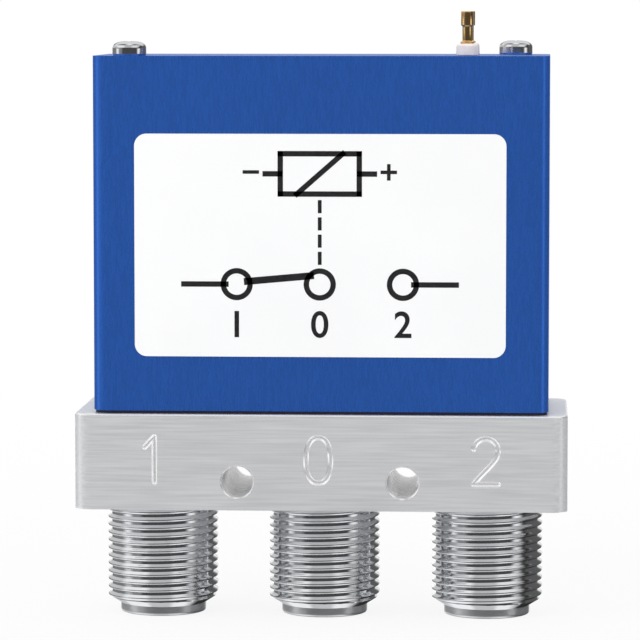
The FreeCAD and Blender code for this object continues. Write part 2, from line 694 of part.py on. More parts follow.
def make_cavity_cover():
    body = new_body("cavity_cover")
    pad(body, outline(body, "XY_Plane", [plate_outline("0")], CAVITY_ROOF),
        "cavity_cover_thickness")
    pocket(body, circles(body, "XY_Plane", PLATE_SCREWS + BRACKET_SCREWS,
                         "small_screw_radius + screw_clearance"))
    pocket(body, circles(body, "XY_Plane", ROD_SPOTS, "rod_radius + rod_play"))
    chamfer(body, is_plate_screw_mouth, "plate_screw_head_height")
    keep(body, "cavity_cover")


def is_plate_screw_mouth(edge):
    """The rim of a plate screw hole on the plate's upper face."""
    if edge.Curve.TypeId != "Part::GeomCircle" or not at_height(edge, BASE_TOP):
        return False
    return abs(abs(edge.Curve.Center.x) - value(PLATE_SCREW_X)) < CLOSE


def make_small_screws():
    """Countersunk screws hold the plate; pan head screws hold bracket and plate."""
    hold = f"({CAVITY_ROOF} - small_screw_bite)"
    shoulder = f"({BASE_TOP} - plate_screw_head_height)"
    flush = [
        ("0", hold), ("small_screw_radius", hold), ("small_screw_radius", shoulder),
        ("small_screw_radius + plate_screw_head_height", BASE_TOP), ("0", BASE_TOP),
    ]
    group("cavity_cover_screws", [turned("plate_screw", flush, x, y) for x, y in PLATE_SCREWS])
    head_top = f"({FOOT_TOP} + bracket_screw_head_height)"
    raised = [
        ("0", hold), ("small_screw_radius", hold), ("small_screw_radius", FOOT_TOP),
        ("small_screw_head_radius", FOOT_TOP), ("small_screw_head_radius", head_top),
        ("0", head_top),
    ]
    group("bracket_screws", [turned("bracket_screw", raised, x, y) for x, y in BRACKET_SCREWS])


def make_contact_slide(side, sign, lift, wire):
    """A reed on its dielectric push rod, with the return spring under the rod's head."""
    axis_x = f"{sign}{ROCKER_ARM}"
    reed = new_body(f"{side}_reed")
    pad(reed, outline(reed, "XY_Plane", [rectangle(f"{REED_LENGTH} / 2", "reed_width / 2")],
                      REED_CLOSED), "reed_thickness")
    pocket(reed, circles(reed, "XY_Plane", [("0", "0")], "rod_stub_radius + seat_clearance"))
    keep(place(reed, axis_x, "0", lift), f"{side}_reed")
    reed_top = f"{REED_CLOSED} + reed_thickness"
    foot = f"{REED_CLOSED} - rod_foot_height"
    rod = turned(f"{side}_push_rod", [
        ("0", foot), ("rod_foot_radius", foot), ("rod_foot_radius", REED_CLOSED),
        ("rod_stub_radius", REED_CLOSED), ("rod_stub_radius", reed_top),
        ("rod_radius", reed_top), ("rod_radius", ROD_HEAD_UNDERSIDE),
        ("rod_head_radius", ROD_HEAD_UNDERSIDE), ("rod_head_radius", ROD_TOP_CLOSED),
        ("0", ROD_TOP_CLOSED),
    ], axis_x, "0", lift)
    keep(rod, f"{side}_push_rod")
    make_spring(f"{side}_return_spring", axis_x, f"({ROD_HEAD_UNDERSIDE} + {lift})", wire)


def make_spring(label, x, top, wire):
    body = new_body(label)
    sketch = circles(body, "XZ_Plane", [("spring_radius", wire)], wire)
    coil = body.newObject("PartDesign::AdditiveHelix", label + "_coil")
    coil.Profile = sketch
    coil.ReferenceAxis = (sketch, ["V_Axis"])
    coil.Mode = "height-turns-angle"
    bind(coil, "Height", f"{top} - {BASE_TOP} - 2 * {wire}")
    bind(coil, "Turns", "spring_turns")
    doc.recompute()
    keep(place(body, x, "0", BASE_TOP), label)


# ---------------------------------------------------------------- rocker and bracket

def cylinder_across(body, x, z, radius, width):
    """A round boss along Y, centred between front and back."""
    pad(body, circles(body, "XZ_Plane", [(x, z)], radius), width, symmetric=True)


def make_rocker():
    """Built level about its own axis, then tilted onto the stop of port 1."""
    body = new_body("armature")
    half = f"({ROCKER_ARM} + rocker_overhang)"
    plate = [
        (f"-{half}", "-rocker_below"), (half, "-rocker_below"),
        (half, "rocker_above"), (f"-{half}", "rocker_above"),
    ]
    pad(body, outline(body, "XZ_Plane", [plate]), "rocker_width", symmetric=True)
    cylinder_across(body, "0", "0", "hub_radius", f"2 * ({BRACKET_IN_Y} - hub_play)")
    for sign in ("-", ""):
        cylinder_across(body, f"{sign}{ROCKER_ARM}", "0", "nose_radius", "nose_width")
    pocket(body, circles(body, "XZ_Plane", [("0", "0")], "pivot_pin_radius + pivot_play"))
    body.Placement = Placement(Vector(0, 0, value(PIVOT_Z)), Rotation(Vector(0, 1, 0), -1))
    place(body, "0", "0", PIVOT_Z)
    bind(body, "Placement.Rotation.Angle", f"-{ROCKER_TILT}")
    keep(body, "armature")


def make_pivot():
    pin = new_body("pivot_pin")
    cylinder_across(pin, "0", PIVOT_Z, "pivot_pin_radius", f"2 * {PIN_END_Y}")
    keep(pin, "pivot_pin")
    clips = []
    for sign in ("-", ""):
        clip = new_body("pivot_clip")
        pad(clip, circles(clip, "XZ_Plane", [("0", PIVOT_Z)], "clip_radius"),
            "clip_thickness", symmetric=True)
        pocket(clip, circles(clip, "XZ_Plane", [("0", PIVOT_Z)],
                             "pivot_pin_radius + seat_clearance"))
        place(clip, "0", f"{sign}({BRACKET_OUT_Y} + clip_thickness / 2)")
        clips.append(clip)
    group("pivot_clips", clips)


def make_bracket():
    """A U of sheet metal: foot on the block, two walls with a tab each for the yoke."""
    body = new_body("relay_bracket")
    wall = [
        (f"-{BRACKET_OUT_Y}", BASE_TOP), (BRACKET_OUT_Y, BASE_TOP),
        (BRACKET_OUT_Y, YOKE_FOOT), (BRACKET_IN_Y, YOKE_FOOT),
        (BRACKET_IN_Y, FOOT_TOP), (f"-{BRACKET_IN_Y}", FOOT_TOP),
        (f"-{BRACKET_IN_Y}", YOKE_FOOT), (f"-{BRACKET_OUT_Y}", YOKE_FOOT),
    ]
    pad(body, outline(body, "YZ_Plane", [wall]), "bracket_width", symmetric=True)
    middle = f"(({BRACKET_OUT_Y} + {BRACKET_IN_Y}) / 2)"
    tabs = [rectangle("bracket_tab_width / 2", "bracket_wall / 2", "0", f"{sign}{middle}")
            for sign in ("-", "")]
    pad(body, outline(body, "XY_Plane", tabs, YOKE_FOOT), "yoke_thickness")
    pocket(body, circles(body, "XZ_Plane", [("0", PIVOT_Z)],
                         "pivot_pin_radius + seat_clearance"))
    pocket(body, circles(body, "XY_Plane", BRACKET_SCREWS,
                         "small_screw_radius + screw_clearance"))
    keep(body, "relay_bracket")


# ---------------------------------------------------------------- magnet system

def make_coil(side, sign):
    x = f"{sign}{ROCKER_ARM}"
    drill = "core_screw_radius + screw_clearance"
    drill_foot = f"{YOKE_FOOT} - core_screw_bite - screw_clearance"
    core = turned(f"{side}_core", [
        ("0", POLE_FACE), ("core_radius", POLE_FACE), ("core_radius", YOKE_FOOT),
        (drill, YOKE_FOOT), (drill, drill_foot), ("0", drill_foot),
    ], x)
    keep(core, f"{side}_core")
    low, high = f"({BOBBIN_FOOT} + bobbin_flange)", f"({YOKE_FOOT} - bobbin_flange)"
    bobbin = turned(f"{side}_bobbin", [
        (BOBBIN_BORE, BOBBIN_FOOT), (FLANGE_RADIUS, BOBBIN_FOOT), (FLANGE_RADIUS, low),
        (BOBBIN_HUB_RADIUS, low), (BOBBIN_HUB_RADIUS, high), (FLANGE_RADIUS, high),
        (FLANGE_RADIUS, YOKE_FOOT), (BOBBIN_BORE, YOKE_FOOT),
    ], x)
    keep(bobbin, f"{side}_bobbin")
    winding = turned(f"{side}_winding", ring_profile(
        f"{BOBBIN_HUB_RADIUS} + seat_clearance", WINDING_RADIUS, low, high), x)
    keep(winding, f"{side}_winding")


def make_yoke():
    body = new_body("yoke_plate")
    pad(body, outline(body, "XY_Plane", [rectangle(YOKE_END_X, BRACKET_OUT_Y)], YOKE_FOOT),
        "yoke_thickness")
    depth = "(bracket_wall + seat_clearance)"
    notches = [rectangle("(bracket_tab_width / 2 + seat_clearance)", depth, "0",
                         f"{sign}{BRACKET_OUT_Y}") for sign in ("-", "")]
    pocket(body, outline(body, "XY_Plane", notches, YOKE_TOP), "yoke_thickness")
    pocket(body, circles(body, "XY_Plane", ROD_SPOTS, "core_screw_radius + screw_clearance"))
    keep(body, "yoke_plate")


def make_core_screws():
    foot = f"({YOKE_FOOT} - core_screw_bite)"
    top = f"({YOKE_TOP} + core_screw_head_height)"
    profile = [
        ("0", foot), ("core_screw_radius", foot), ("core_screw_radius", YOKE_TOP),
        ("core_screw_head_radius", YOKE_TOP), ("core_screw_head_radius", top), ("0", top),
    ]
    group("core_screws", [turned("core_screw", profile, x, y) for x, y in ROD_SPOTS])


def make_magnet():
    box("bias_magnet", MAGNET_HALF_X, "(magnet_width / 2)", MAGNET_FOOT, YOKE_FOOT)
    box("middle_pole", MAGNET_HALF_X, "(magnet_width / 2)",
        f"({PIVOT_Z} + hub_radius + hub_air_gap)", MAGNET_FOOT)


# ---------------------------------------------------------------- internal leads

def bent_path(points, bend):
    """Straight runs joined by tangent arcs of one radius."""
    edges = []
    start = points[0]
    for corner, after in zip(points[1:-1], points[2:]):
        come = (corner - start).normalize()
        leave = (after - corner).normalize()
        setback = bend * tan_half(come, leave)
        arc_start = corner - come * setback
        arc_end = corner + leave * setback
        inward = (leave - come).normalize()
        centre_gap = (bend ** 2 + setback ** 2) ** 0.5
        arc_middle = corner + inward * (centre_gap - bend)
        edges.append(Part.LineSegment(start, arc_start).toShape())
        edges.append(Part.Arc(arc_start, arc_middle, arc_end).toShape())
        start = arc_end
    edges.append(Part.LineSegment(start, points[-1]).toShape())
    return Part.Wire(edges)


def tan_half(come, leave):
    """Tangent of half the turn between two unit directions."""
    return ((1 - come.dot(leave)) / (1 + come.dot(leave))) ** 0.5


def make_lead(label, corners):
    points = [Vector(*(value(part) for part in corner)) for corner in corners]
    path = bent_path(points, value("lead_bend"))
    start_direction = points[1] - points[0]
    section = Part.Wire(Part.makeCircle(value("lead_radius"), points[0], start_direction))
    lead = doc.addObject("Part::Feature", label)
    lead.Shape = path.makePipeShell([section], True, True)
    keep(lead, label)


def make_leads():
    """Each terminal's lead runs past the yoke to its coil; a link joins the two coils."""
    level = f"({ROOF_UNDERSIDE} - insulator_collar - terminal_tail - lead_radius)"
    beside = f"({YOKE_END_X} + lead_room)"
    entry = f"({YOKE_FOOT} - bobbin_flange - lead_entry)"
    near_edge = f"({TERMINAL_Y} - lead_radius)"
    outer_end = f"({ROCKER_ARM} + sqrt({WINDING_RADIUS} ^ 2 - {near_edge} ^ 2) + seat_clearance)"
    for label, side, y in (("front_lead", "", f"-{TERMINAL_Y}"), ("back_lead", "-", TERMINAL_Y)):
        make_lead(label, [
            (TERMINAL_X, y, level), (f"{side}{beside}", y, level),
            (f"{side}{beside}", y, entry), (f"{side}{outer_end}", y, entry),
        ])
    link_y = f"({FLANGE_RADIUS} - lead_room)"
    link_edge = f"({link_y} - lead_radius)"
    inner_end = f"({ROCKER_ARM} - sqrt({WINDING_RADIUS} ^ 2 - {link_edge} ^ 2) - seat_clearance)"
    link_z = f"({BOBBIN_FOOT} + bobbin_flange + lead_entry)"
    make_lead("coil_link", [(f"-{inner_end}", f"-{link_y}", link_z), (inner_end, f"-{link_y}", link_z)])


# ---------------------------------------------------------------- cover

def make_posts():
    drill = "cover_screw_radius + screw_clearance"
    drill_foot = f"{ROOF_UNDERSIDE} - cover_screw_bite - screw_clearance"
    stud_foot = f"{BASE_TOP} - post_stud_length"
    profile = [
        ("0", stud_foot), ("post_stud_radius", stud_foot), ("post_stud_radius", BASE_TOP),
        ("post_radius", BASE_TOP), ("post_radius", ROOF_UNDERSIDE), (drill, ROOF_UNDERSIDE),
        (drill, drill_foot), ("0", drill_foot),
    ]
    for side, (x, y) in zip(("left", "right"), POST_SPOTS):
        keep(turned(f"{side}_cover_post", profile, x, y), f"{side}_cover_post")


def make_gasket():
    body = new_body("cover_gasket")
    outer = rectangle(f"({COVER_LENGTH} / 2 - gasket_inset)", f"({COVER_DEPTH} / 2 - gasket_inset)")
    inner = rectangle(f"({COVER_LENGTH} / 2 - cover_wall)", COVER_INSIDE_Y)
    pad(body, outline(body, "XY_Plane", [outer, inner], BASE_TOP), "gasket_thickness")
    fillet(body, is_inside, "cover_corner_radius - cover_wall")
    fillet(body, is_outer_gasket_corner, "cover_corner_radius - gasket_inset")
    keep(body, "cover_gasket")


def is_inside(edge):
    """An upright edge of the cover's or the gasket's inner outline."""
    return is_upright(edge) and abs(abs(edge.BoundBox.Center.y) - value(COVER_INSIDE_Y)) < CLOSE


def is_outer_gasket_corner(edge):
    face = value(f"{COVER_DEPTH} / 2 - gasket_inset")
    return is_upright(edge) and abs(abs(edge.BoundBox.Center.y) - face) < CLOSE


def make_cover():
    body = new_body("cover")
    outer = rectangle(f"{COVER_LENGTH} / 2", f"{COVER_DEPTH} / 2")
    pad(body, outline(body, "XY_Plane", [outer], COVER_FOOT), "cover_height")
    fillet(body, is_upright, "cover_corner_radius")
    fillet(body, lambda e: at_height(e, COVER_TOP), "cover_top_rounding")
    inner = rectangle(f"({COVER_LENGTH} / 2 - cover_wall)", COVER_INSIDE_Y)
    pocket(body, outline(body, "XY_Plane", [inner], COVER_FOOT), "cover_height - cover_wall",
           upward=True)
    fillet(body, is_inside, "cover_corner_radius - cover_wall")
    pocket(body, circles(body, "XY_Plane", POST_SPOTS, "cover_screw_radius + screw_clearance"))
    pocket(body, circles(body, "XY_Plane", TERMINAL_SPOTS,
                         "insulator_neck_radius + seat_clearance"))
    keep(body, "cover")


def make_label():
    body = new_body("label")
    middle = f"({COVER_FOOT} + label_rise + label_height / 2)"
    sketch = outline(body, "XZ_Plane", [rectangle("label_width / 2", "label_height / 2",
                                                  "0", middle)], f"{COVER_DEPTH} / 2")
    pad(body, sketch, "label_thickness")
    fillet(body, is_level_depthwise, "label_corner_radius")
    keep(body, "label")


def is_level_depthwise(edge):
    return edge.BoundBox.XLength < CLOSE and edge.BoundBox.ZLength < CLOSE


def make_cover_screws():
    foot = f"({ROOF_UNDERSIDE} - cover_screw_bite)"
    top = f"({COVER_TOP} + cover_screw_head_height)"
    profile = [
        ("0", foot), ("cover_screw_radius", foot), ("cover_screw_radius", COVER_TOP),
        ("cover_screw_head_radius", COVER_TOP), ("cover_screw_head_radius", top), ("0", top),
    ]
    for side, (x, y) in zip(("left", "right"), POST_SPOTS):
        screw = turned(f"{side}_cover_screw", profile, x, y)
        fillet(screw, lambda e: at_height(e, top), "cover_screw_rounding")
        cross_recess(screw, top)
        keep(screw, f"{side}_cover_screw")


# ---------------------------------------------------------------- solder terminals

TERMINAL_SPOTS = [(TERMINAL_X, f"-{TERMINAL_Y}"), (TERMINAL_X, TERMINAL_Y)]


def make_terminals():
    collar = f"({ROOF_UNDERSIDE} - insulator_collar)"
    seat = f"({COVER_TOP} + insulator_height)"
    bore = "terminal_stem_radius + seat_clearance"
    insulator_profile = [
        (bore, collar), ("insulator_radius", collar), ("insulator_radius", ROOF_UNDERSIDE),
        ("insulator_neck_radius", ROOF_UNDERSIDE), ("insulator_neck_radius", COVER_TOP),
        ("insulator_radius", COVER_TOP), ("insulator_radius", seat), (bore, seat),
    ]
    flange_top = f"({seat} + terminal_flange_height)"
    neck_top = f"({flange_top} + terminal_neck_height)"
    top = f"({neck_top} + terminal_cap_height)"
    pin_profile = [
        ("0", f"{collar} - terminal_tail"), ("terminal_stem_radius", f"{collar} - terminal_tail"),
        ("terminal_stem_radius", seat), ("terminal_flange_radius", seat),
        ("terminal_flange_radius", flange_top), ("terminal_neck_radius", flange_top),
        ("terminal_neck_radius", neck_top), ("terminal_cap_radius", neck_top),
        ("terminal_cap_radius", top), ("0", top),
    ]
    for side, (x, y) in zip(("front", "back"), TERMINAL_SPOTS):
        insulator = turned(f"{side}_terminal_insulator", insulator_profile, x, y)
        fillet(insulator, is_shoulder, "insulator_rounding")
        keep(insulator, f"{side}_terminal_insulator")
        keep(turned(f"{side}_terminal", pin_profile, x, y), f"{side}_terminal")


def is_shoulder(edge):
    """The outer rim of an insulator's upper end."""
    seat = f"({COVER_TOP} + insulator_height)"
    return at_height(edge, seat) and abs(edge.BoundBox.XLength - value("2 * insulator_radius")) < CLOSE


# ---------------------------------------------------------------- the whole switch

def build():
    fill_sheet()
    make_base_block()
    for port, x in PORTS:
        make_shell(port, x)
        make_contact(port, x)
        make_beads(port, x)
    make_cavity_cover()
    make_small_screws()
    make_contact_slide("left", "-", "0", "spring_wire_radius")
    make_contact_slide("right", "", "contact_travel", "strong_spring_wire_radius")
    make_rocker()
    make_pivot()
    make_bracket()
    make_coil("left", "-")
    make_coil("right", "")
    make_yoke()
    make_core_screws()
    make_magnet()
    make_leads()
    make_posts()
    make_gasket()
    make_cover()
    make_label()
    make_cover_screws()
    make_terminals()
    doc.recompute()


def check():
    """Stops if any feature failed or any sub-part isn't a sound solid."""
    for feature in doc.Objects:
        if "Invalid" in feature.State or "Error" in feature.State:
            raise RuntimeError(f"{feature.Label} failed: {feature.State}")
    for node in nodes:
        if node.Shape.isNull() or not node.Shape.isValid() or not node.Shape.Solids:
            raise RuntimeError(f"{node.Label} has no valid shape")


def write():
    os.makedirs("parts", exist_ok=True)
    for node in nodes:
        node.Shape.exportStep(os.path.join("parts", node.Label + ".step"))
    print(f"{len(nodes)} sub-parts written")


build()
check()
write()
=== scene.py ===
import json
import math

import bmesh
import bpy
from bpy.props import FloatProperty, FloatVectorProperty, PointerProperty
from mathutils import Matrix, Vector

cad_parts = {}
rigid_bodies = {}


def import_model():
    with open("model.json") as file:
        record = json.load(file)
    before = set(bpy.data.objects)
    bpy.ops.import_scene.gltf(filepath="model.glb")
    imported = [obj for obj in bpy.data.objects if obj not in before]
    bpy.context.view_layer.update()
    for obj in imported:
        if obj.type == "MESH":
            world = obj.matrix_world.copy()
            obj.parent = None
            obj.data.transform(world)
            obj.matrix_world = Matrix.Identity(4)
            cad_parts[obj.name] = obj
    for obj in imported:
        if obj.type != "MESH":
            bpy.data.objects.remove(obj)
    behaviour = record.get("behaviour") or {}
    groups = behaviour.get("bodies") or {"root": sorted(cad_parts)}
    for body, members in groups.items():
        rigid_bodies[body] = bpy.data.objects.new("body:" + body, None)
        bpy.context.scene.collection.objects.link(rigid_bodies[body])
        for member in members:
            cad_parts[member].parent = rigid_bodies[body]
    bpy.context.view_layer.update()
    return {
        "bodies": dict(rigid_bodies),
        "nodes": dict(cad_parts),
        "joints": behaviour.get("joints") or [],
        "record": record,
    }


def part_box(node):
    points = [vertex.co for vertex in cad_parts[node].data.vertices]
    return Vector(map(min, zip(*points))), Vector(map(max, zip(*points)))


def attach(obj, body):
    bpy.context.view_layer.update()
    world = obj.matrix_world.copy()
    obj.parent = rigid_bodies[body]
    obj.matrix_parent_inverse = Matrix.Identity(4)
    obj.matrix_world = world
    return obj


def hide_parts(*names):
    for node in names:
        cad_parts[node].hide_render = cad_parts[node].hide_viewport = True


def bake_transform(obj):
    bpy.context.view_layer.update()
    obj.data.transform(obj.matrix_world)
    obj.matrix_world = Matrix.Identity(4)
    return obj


bl_info = {
    "name": "Coaxial antenna switch",
    "version": (1, 0, 0),
    "blender": (4, 5, 0),
    "location": "3D View > Sidebar > Switch",
    "description": "Builds the finished look of a coaxial antenna switch round its packed parts",
    "category": "Object",
}

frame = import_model()

MM = 0.001
TINY = 1e-7
HOUSING = "housing"
PORTS = ("1", "0", "2")
BLOCK_LOW, BLOCK_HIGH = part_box("rf_body")
COVER_LOW, COVER_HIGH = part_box("cover")
LABEL_LOW, LABEL_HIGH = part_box("label")


# ---------------------------------------------------------------- sizes and colours

def length(name, millimetres, description):
    return FloatProperty(
        name=name, description=description, default=millimetres * MM, min=0.0, precision=5,
        unit="LENGTH",
    )


def colour(name, red, green, blue, description):
    return FloatVectorProperty(
        name=name, description=description, default=(red, green, blue), min=0.0, max=1.0, size=3,
        subtype="COLOR",
    )


def level(name, default, description):
    return FloatProperty(name=name, description=description, default=default, min=0.0)


class SwitchSizes(bpy.types.PropertyGroup):
    """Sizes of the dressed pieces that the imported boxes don't give"""

    block_corner: length("Block corner", 2.6, "Radius of the block's upright edges")
    block_edge: length("Block edge", 0.3, "Rounding of the block's other edges")
    hole_spacing: length("Hole spacing", 23.2, "Between the two mounting holes")
    hole_rise: length("Hole rise", 4.0, "Mounting hole axis above the block's underside")
    hole_radius: length("Hole radius", 2.2, "Mounting hole")
    hole_chamfer: length("Hole chamfer", 0.18, "Chamfer of the mounting hole mouths")
    cavity_half_length: length("Cavity half length", 26.2, "Switching cavity, half along X")
    cavity_half_width: length("Cavity half width", 2.5, "Switching cavity, half along Y")
    cavity_height: length("Cavity height", 2.3, "Switching cavity under its plate")
    post_room: length("Post room", 0.7, "From the cavity's plate to a cover post")
    digit_height: length("Digit height", 7.15, "Engraved port numbers")
    digit_width: length("Digit width", 4.2, "Engraved port numbers")
    digit_rise: length("Digit rise", 3.55, "Engraved numbers above the block's underside")
    groove_width: length("Groove width", 0.76, "Width of the engraver's groove at the face")
    groove_floor: length("Groove floor", 0.16, "Width of the groove's flat floor")
    groove_depth: length("Groove depth", 0.235, "Depth of the groove")
    thread_pitch: length("Thread pitch", 1.118, "Rise of the coupling thread in one turn")
    thread_root: length("Thread root", 7.38, "Radius at the bottom of the thread")
    nose_radius: length("Nose radius", 6.1, "Smooth nose ring of a jack")
    nose_length: length("Nose length", 1.3, "Smooth nose ring of a jack")
    lowest_crest: length("Lowest crest", 1.93, "Height of the thread's start on the +X side")
    mouth_radius: length("Mouth radius", 4.05, "Jack bore at its mouth")
    mouth_depth: length("Mouth depth", 9.1, "Depth of the wide part of the bore")
    bore_radius: length("Bore radius", 3.5, "Jack bore past the step")
    spigot_radius: length("Spigot radius", 7.0, "Jack spigot inside the block")
    cover_corner: length("Cover corner", 2.4, "Radius of the cover's upright edges")
    cover_rounding: length("Cover rounding", 0.6, "Rounding of the edge round the roof")
    # The lift shows more of the near black gasket: a dark line that also stands in for the shade
    # under the cover.
    cover_lift: length("Cover lift", 0.12, "Gasket left in sight under the cover")
    cover_wall: length("Cover wall", 1.0, "Wall of the cover")
    print_thickness: length("Print thickness", 0.02, "Ink above the label film")
    print_line: length("Print line", 0.75, "Width of a line of the label's diagram")
    screw_shank: length("Screw shank", 1.25, "Radius of a cover screw's shank")
    screw_head: length("Screw head", 2.0, "Height of a cover screw's head")
    screw_side: length("Screw side", 1.0, "Upright side of a cover screw's head")
    recess_span: length("Recess span", 2.9, "Cross recess, end to end")
    recess_width: length("Recess width", 0.7, "Cross recess, width of an arm")
    recess_depth: length("Recess depth", 1.1, "Cross recess")
    terminal_neck: length("Terminal neck", 0.7, "Radius of the neck that a wire wraps round")
    terminal_cap: length("Terminal cap", 2.11, "Height of the cap")
    terminal_flange: length("Terminal flange", 0.35, "Height of the flange")
    terminal_stem: length("Terminal stem", 0.4, "Radius inside the insulator")
    insulator_neck: length("Insulator neck", 1.2, "Radius through the roof")
    insulator_rise: length("Insulator rise", 1.65, "Insulator above the roof")


class SwitchColours(bpy.types.PropertyGroup):
    """Colours of the finishes"""

    aluminium: colour("Aluminium", 0.875, 0.885, 0.9, "Brushed base block")
    cover: colour("Cover", 0.0417, 0.162, 0.642, "Blue anodised cover")
    film: colour("Label film", 0.97, 0.975, 0.98, "White vinyl label")
    ink: colour("Ink", 0.012, 0.012, 0.014, "Print on the label")
    nickel: colour("Nickel", 0.76, 0.77, 0.79, "Plated jack shells and screws")
    gold: colour("Gold", 0.95, 0.62, 0.27, "Plated terminals and contacts")
    ivory: colour("Ivory", 0.99, 0.90, 0.83, "Terminal insulators")
    ptfe: colour("Beads", 0.88, 0.88, 0.85, "White insulating beads")
    # Near black gasket rubber, also standing in for the painted shade line under the cover.
    rubber: colour("Gasket", 0.018, 0.012, 0.035, "Gasket under the cover")


class StudioLevels(bpy.types.PropertyGroup):
    """Levels of the studio light, where 1 is white"""

    fill: level("Fill", 0.98, "Even light from all round on matt surfaces")
    key: level("Key lamp", 1.6, "Power of the soft lamp at the upper left, in watts")
    dark: level("Dark", 0.04, "Dark corners that metal mirrors")


# ---------------------------------------------------------------- node building

class Graph:
    """Adds nodes to a tree. An input takes a plain value or the output that feeds it."""

    def __init__(self, tree):
        self.tree = tree

    def add(self, kind, inputs=None, **settings):
        node = self.tree.nodes.new(kind)
        node.location = (len(self.tree.nodes) * 180, 0)
        for key, setting in settings.items():
            setattr(node, key, setting)
        for key, source in (inputs or {}).items():
            self.feed(node.inputs[key], source)
        return node

    def feed(self, socket, source):
        if isinstance(source, bpy.types.NodeSocket):
            self.tree.links.new(source, socket)
        else:
            socket.default_value = source

    def math(self, operation, *values):
        return self.add("ShaderNodeMath", dict(enumerate(values)), operation=operation).outputs[0]

    def plus(self, one, other):
        return self.math("ADD", one, other)

    def minus(self, one, other):
        return self.math("SUBTRACT", one, other)

    def times(self, *factors):
        """The product of two or more values."""
        result = factors[0]
        for factor in factors[1:]:
            result = self.math("MULTIPLY", result, factor)
        return result

    def vector(self, operation, *values, scale=None):
        """Vector maths: the result of adding, scaling, normalising and so on."""
        inputs = dict(enumerate(values))
        if scale is not None:
            inputs["Scale"] = scale
        return self.add("ShaderNodeVectorMath", inputs, operation=operation).outputs["Vector"]

    def split(self, source):
        """X, Y and Z of a vector."""
        return self.add("ShaderNodeSeparateXYZ", {0: source}).outputs

    def ease(self, source, start, end, low=0.0, high=1.0):
        """A smooth change from low at start to high at end."""
        return self.add(
            "ShaderNodeMapRange",
            {"Value": source, "From Min": start, "From Max": end, "To Min": low, "To Max": high},
            interpolation_type="SMOOTHSTEP",
        ).outputs["Result"]


class Finish(Graph):
    """A material whose patterns lie in the piece's own space."""

    def __init__(self, name, rgb, metallic=0.0, roughness=0.5):
        self.material = bpy.data.materials.new(name)
        self.material.use_nodes = True
        super().__init__(self.material.node_tree)
        self.shader = self.tree.nodes["Principled BSDF"]
        self.rgb = rgb
        self.shader.inputs["Base Color"].default_value = (*rgb, 1)
        self.shader.inputs["Metallic"].default_value = metallic
        self.shader.inputs["Roughness"].default_value = roughness
        self.space = self.add("ShaderNodeTexCoord").outputs["Object"]

    def noise(self, grains, detail=3.0, distortion=0.0):
        """Noise with the given number of grains to the metre along X, Y and Z."""
        stretched = self.add("ShaderNodeMapping", {"Vector": self.space, "Scale": grains})
        return self.add(
            "ShaderNodeTexNoise",
            {"Vector": stretched.outputs["Vector"], "Scale": 1.0, "Detail": detail,
             "Distortion": distortion},
        ).outputs["Fac"]

    def tint(self, pattern, darkest, lightest):
        """The finish's colour, made darker and lighter by a pattern."""
        factor = self.ease(pattern, 0.3, 0.7, darkest, lightest)
        return self.vector("SCALE", self.rgb, scale=factor)

    def paint(self, source):
        self.feed(self.shader.inputs["Base Color"], source)

    def polish(self, pattern, low, high):
        self.feed(self.shader.inputs["Roughness"], self.ease(pattern, 0.3, 0.7, low, high))

    def relief(self, pattern, depth, strength):
        """Bump of a real depth in metres."""
        bump = self.add("ShaderNodeBump",
                        {"Height": pattern, "Distance": depth, "Strength": strength})
        self.feed(self.shader.inputs["Normal"], bump.outputs["Normal"])


# ---------------------------------------------------------------- finishes

def brushed_aluminium(colours):
    """Long fine scratches along the block, across it on the two end faces."""
    finish = Finish("brushed_aluminium", colours.aluminium, metallic=0.455)
    along = finish.noise((90, 3200, 3200), detail=4, distortion=0.15)
    across = finish.noise((3200, 120, 3200), detail=4)
    normal = finish.split(finish.add("ShaderNodeNewGeometry").outputs["True Normal"])
    on_end = finish.ease(finish.math("ABSOLUTE", normal["X"]), 0.7, 0.9)
    scratches = finish.add("ShaderNodeMix", {"Factor": on_end, "A": along, "B": across})
    scratches = scratches.outputs["Result"]
    cloud = finish.noise((40, 160, 160), detail=2)
    shade = finish.plus(finish.times(scratches, 0.8), finish.times(cloud, 0.2))
    finish.paint(finish.tint(shade, 0.93, 1.05))
    finish.polish(scratches, 0.30, 0.44)
    finish.relief(scratches, 0.004 * MM, 0.6)
    return finish.material


def mottled(name, rgb, grains, tints, polish, detail=3, metallic=0.0):
    """A finish whose colour and polish follow one noise, and that noise."""
    finish = Finish(name, rgb, metallic=metallic)
    pattern = finish.noise(grains, detail=detail)
    finish.paint(finish.tint(pattern, *tints))
    finish.polish(pattern, *polish)
    return finish, pattern


def cut_aluminium():
    """Bright walls left by the engraver's cutter and the countersink, also on the block's top
    edge. Paler than the brushed block: partly bare cut metal, partly a painted highlight.
    """
    finish = Finish("cut_aluminium", (0.97, 0.97, 0.98), metallic=0.6)
    finish.polish(finish.noise((1500, 1500, 1500), detail=2), 0.17, 0.23)
    return finish.material


def reamed_aluminium():
    """Satin walls inside the bores, painted paler than the block's aluminium: painted light where
    the bores lie in shade.
    """
    finish, _ = mottled("reamed_aluminium", (0.97, 0.97, 0.98), (400, 2600, 400), (0.97, 1.03),
                        (0.26, 0.34), detail=2, metallic=0.5)
    return finish.material


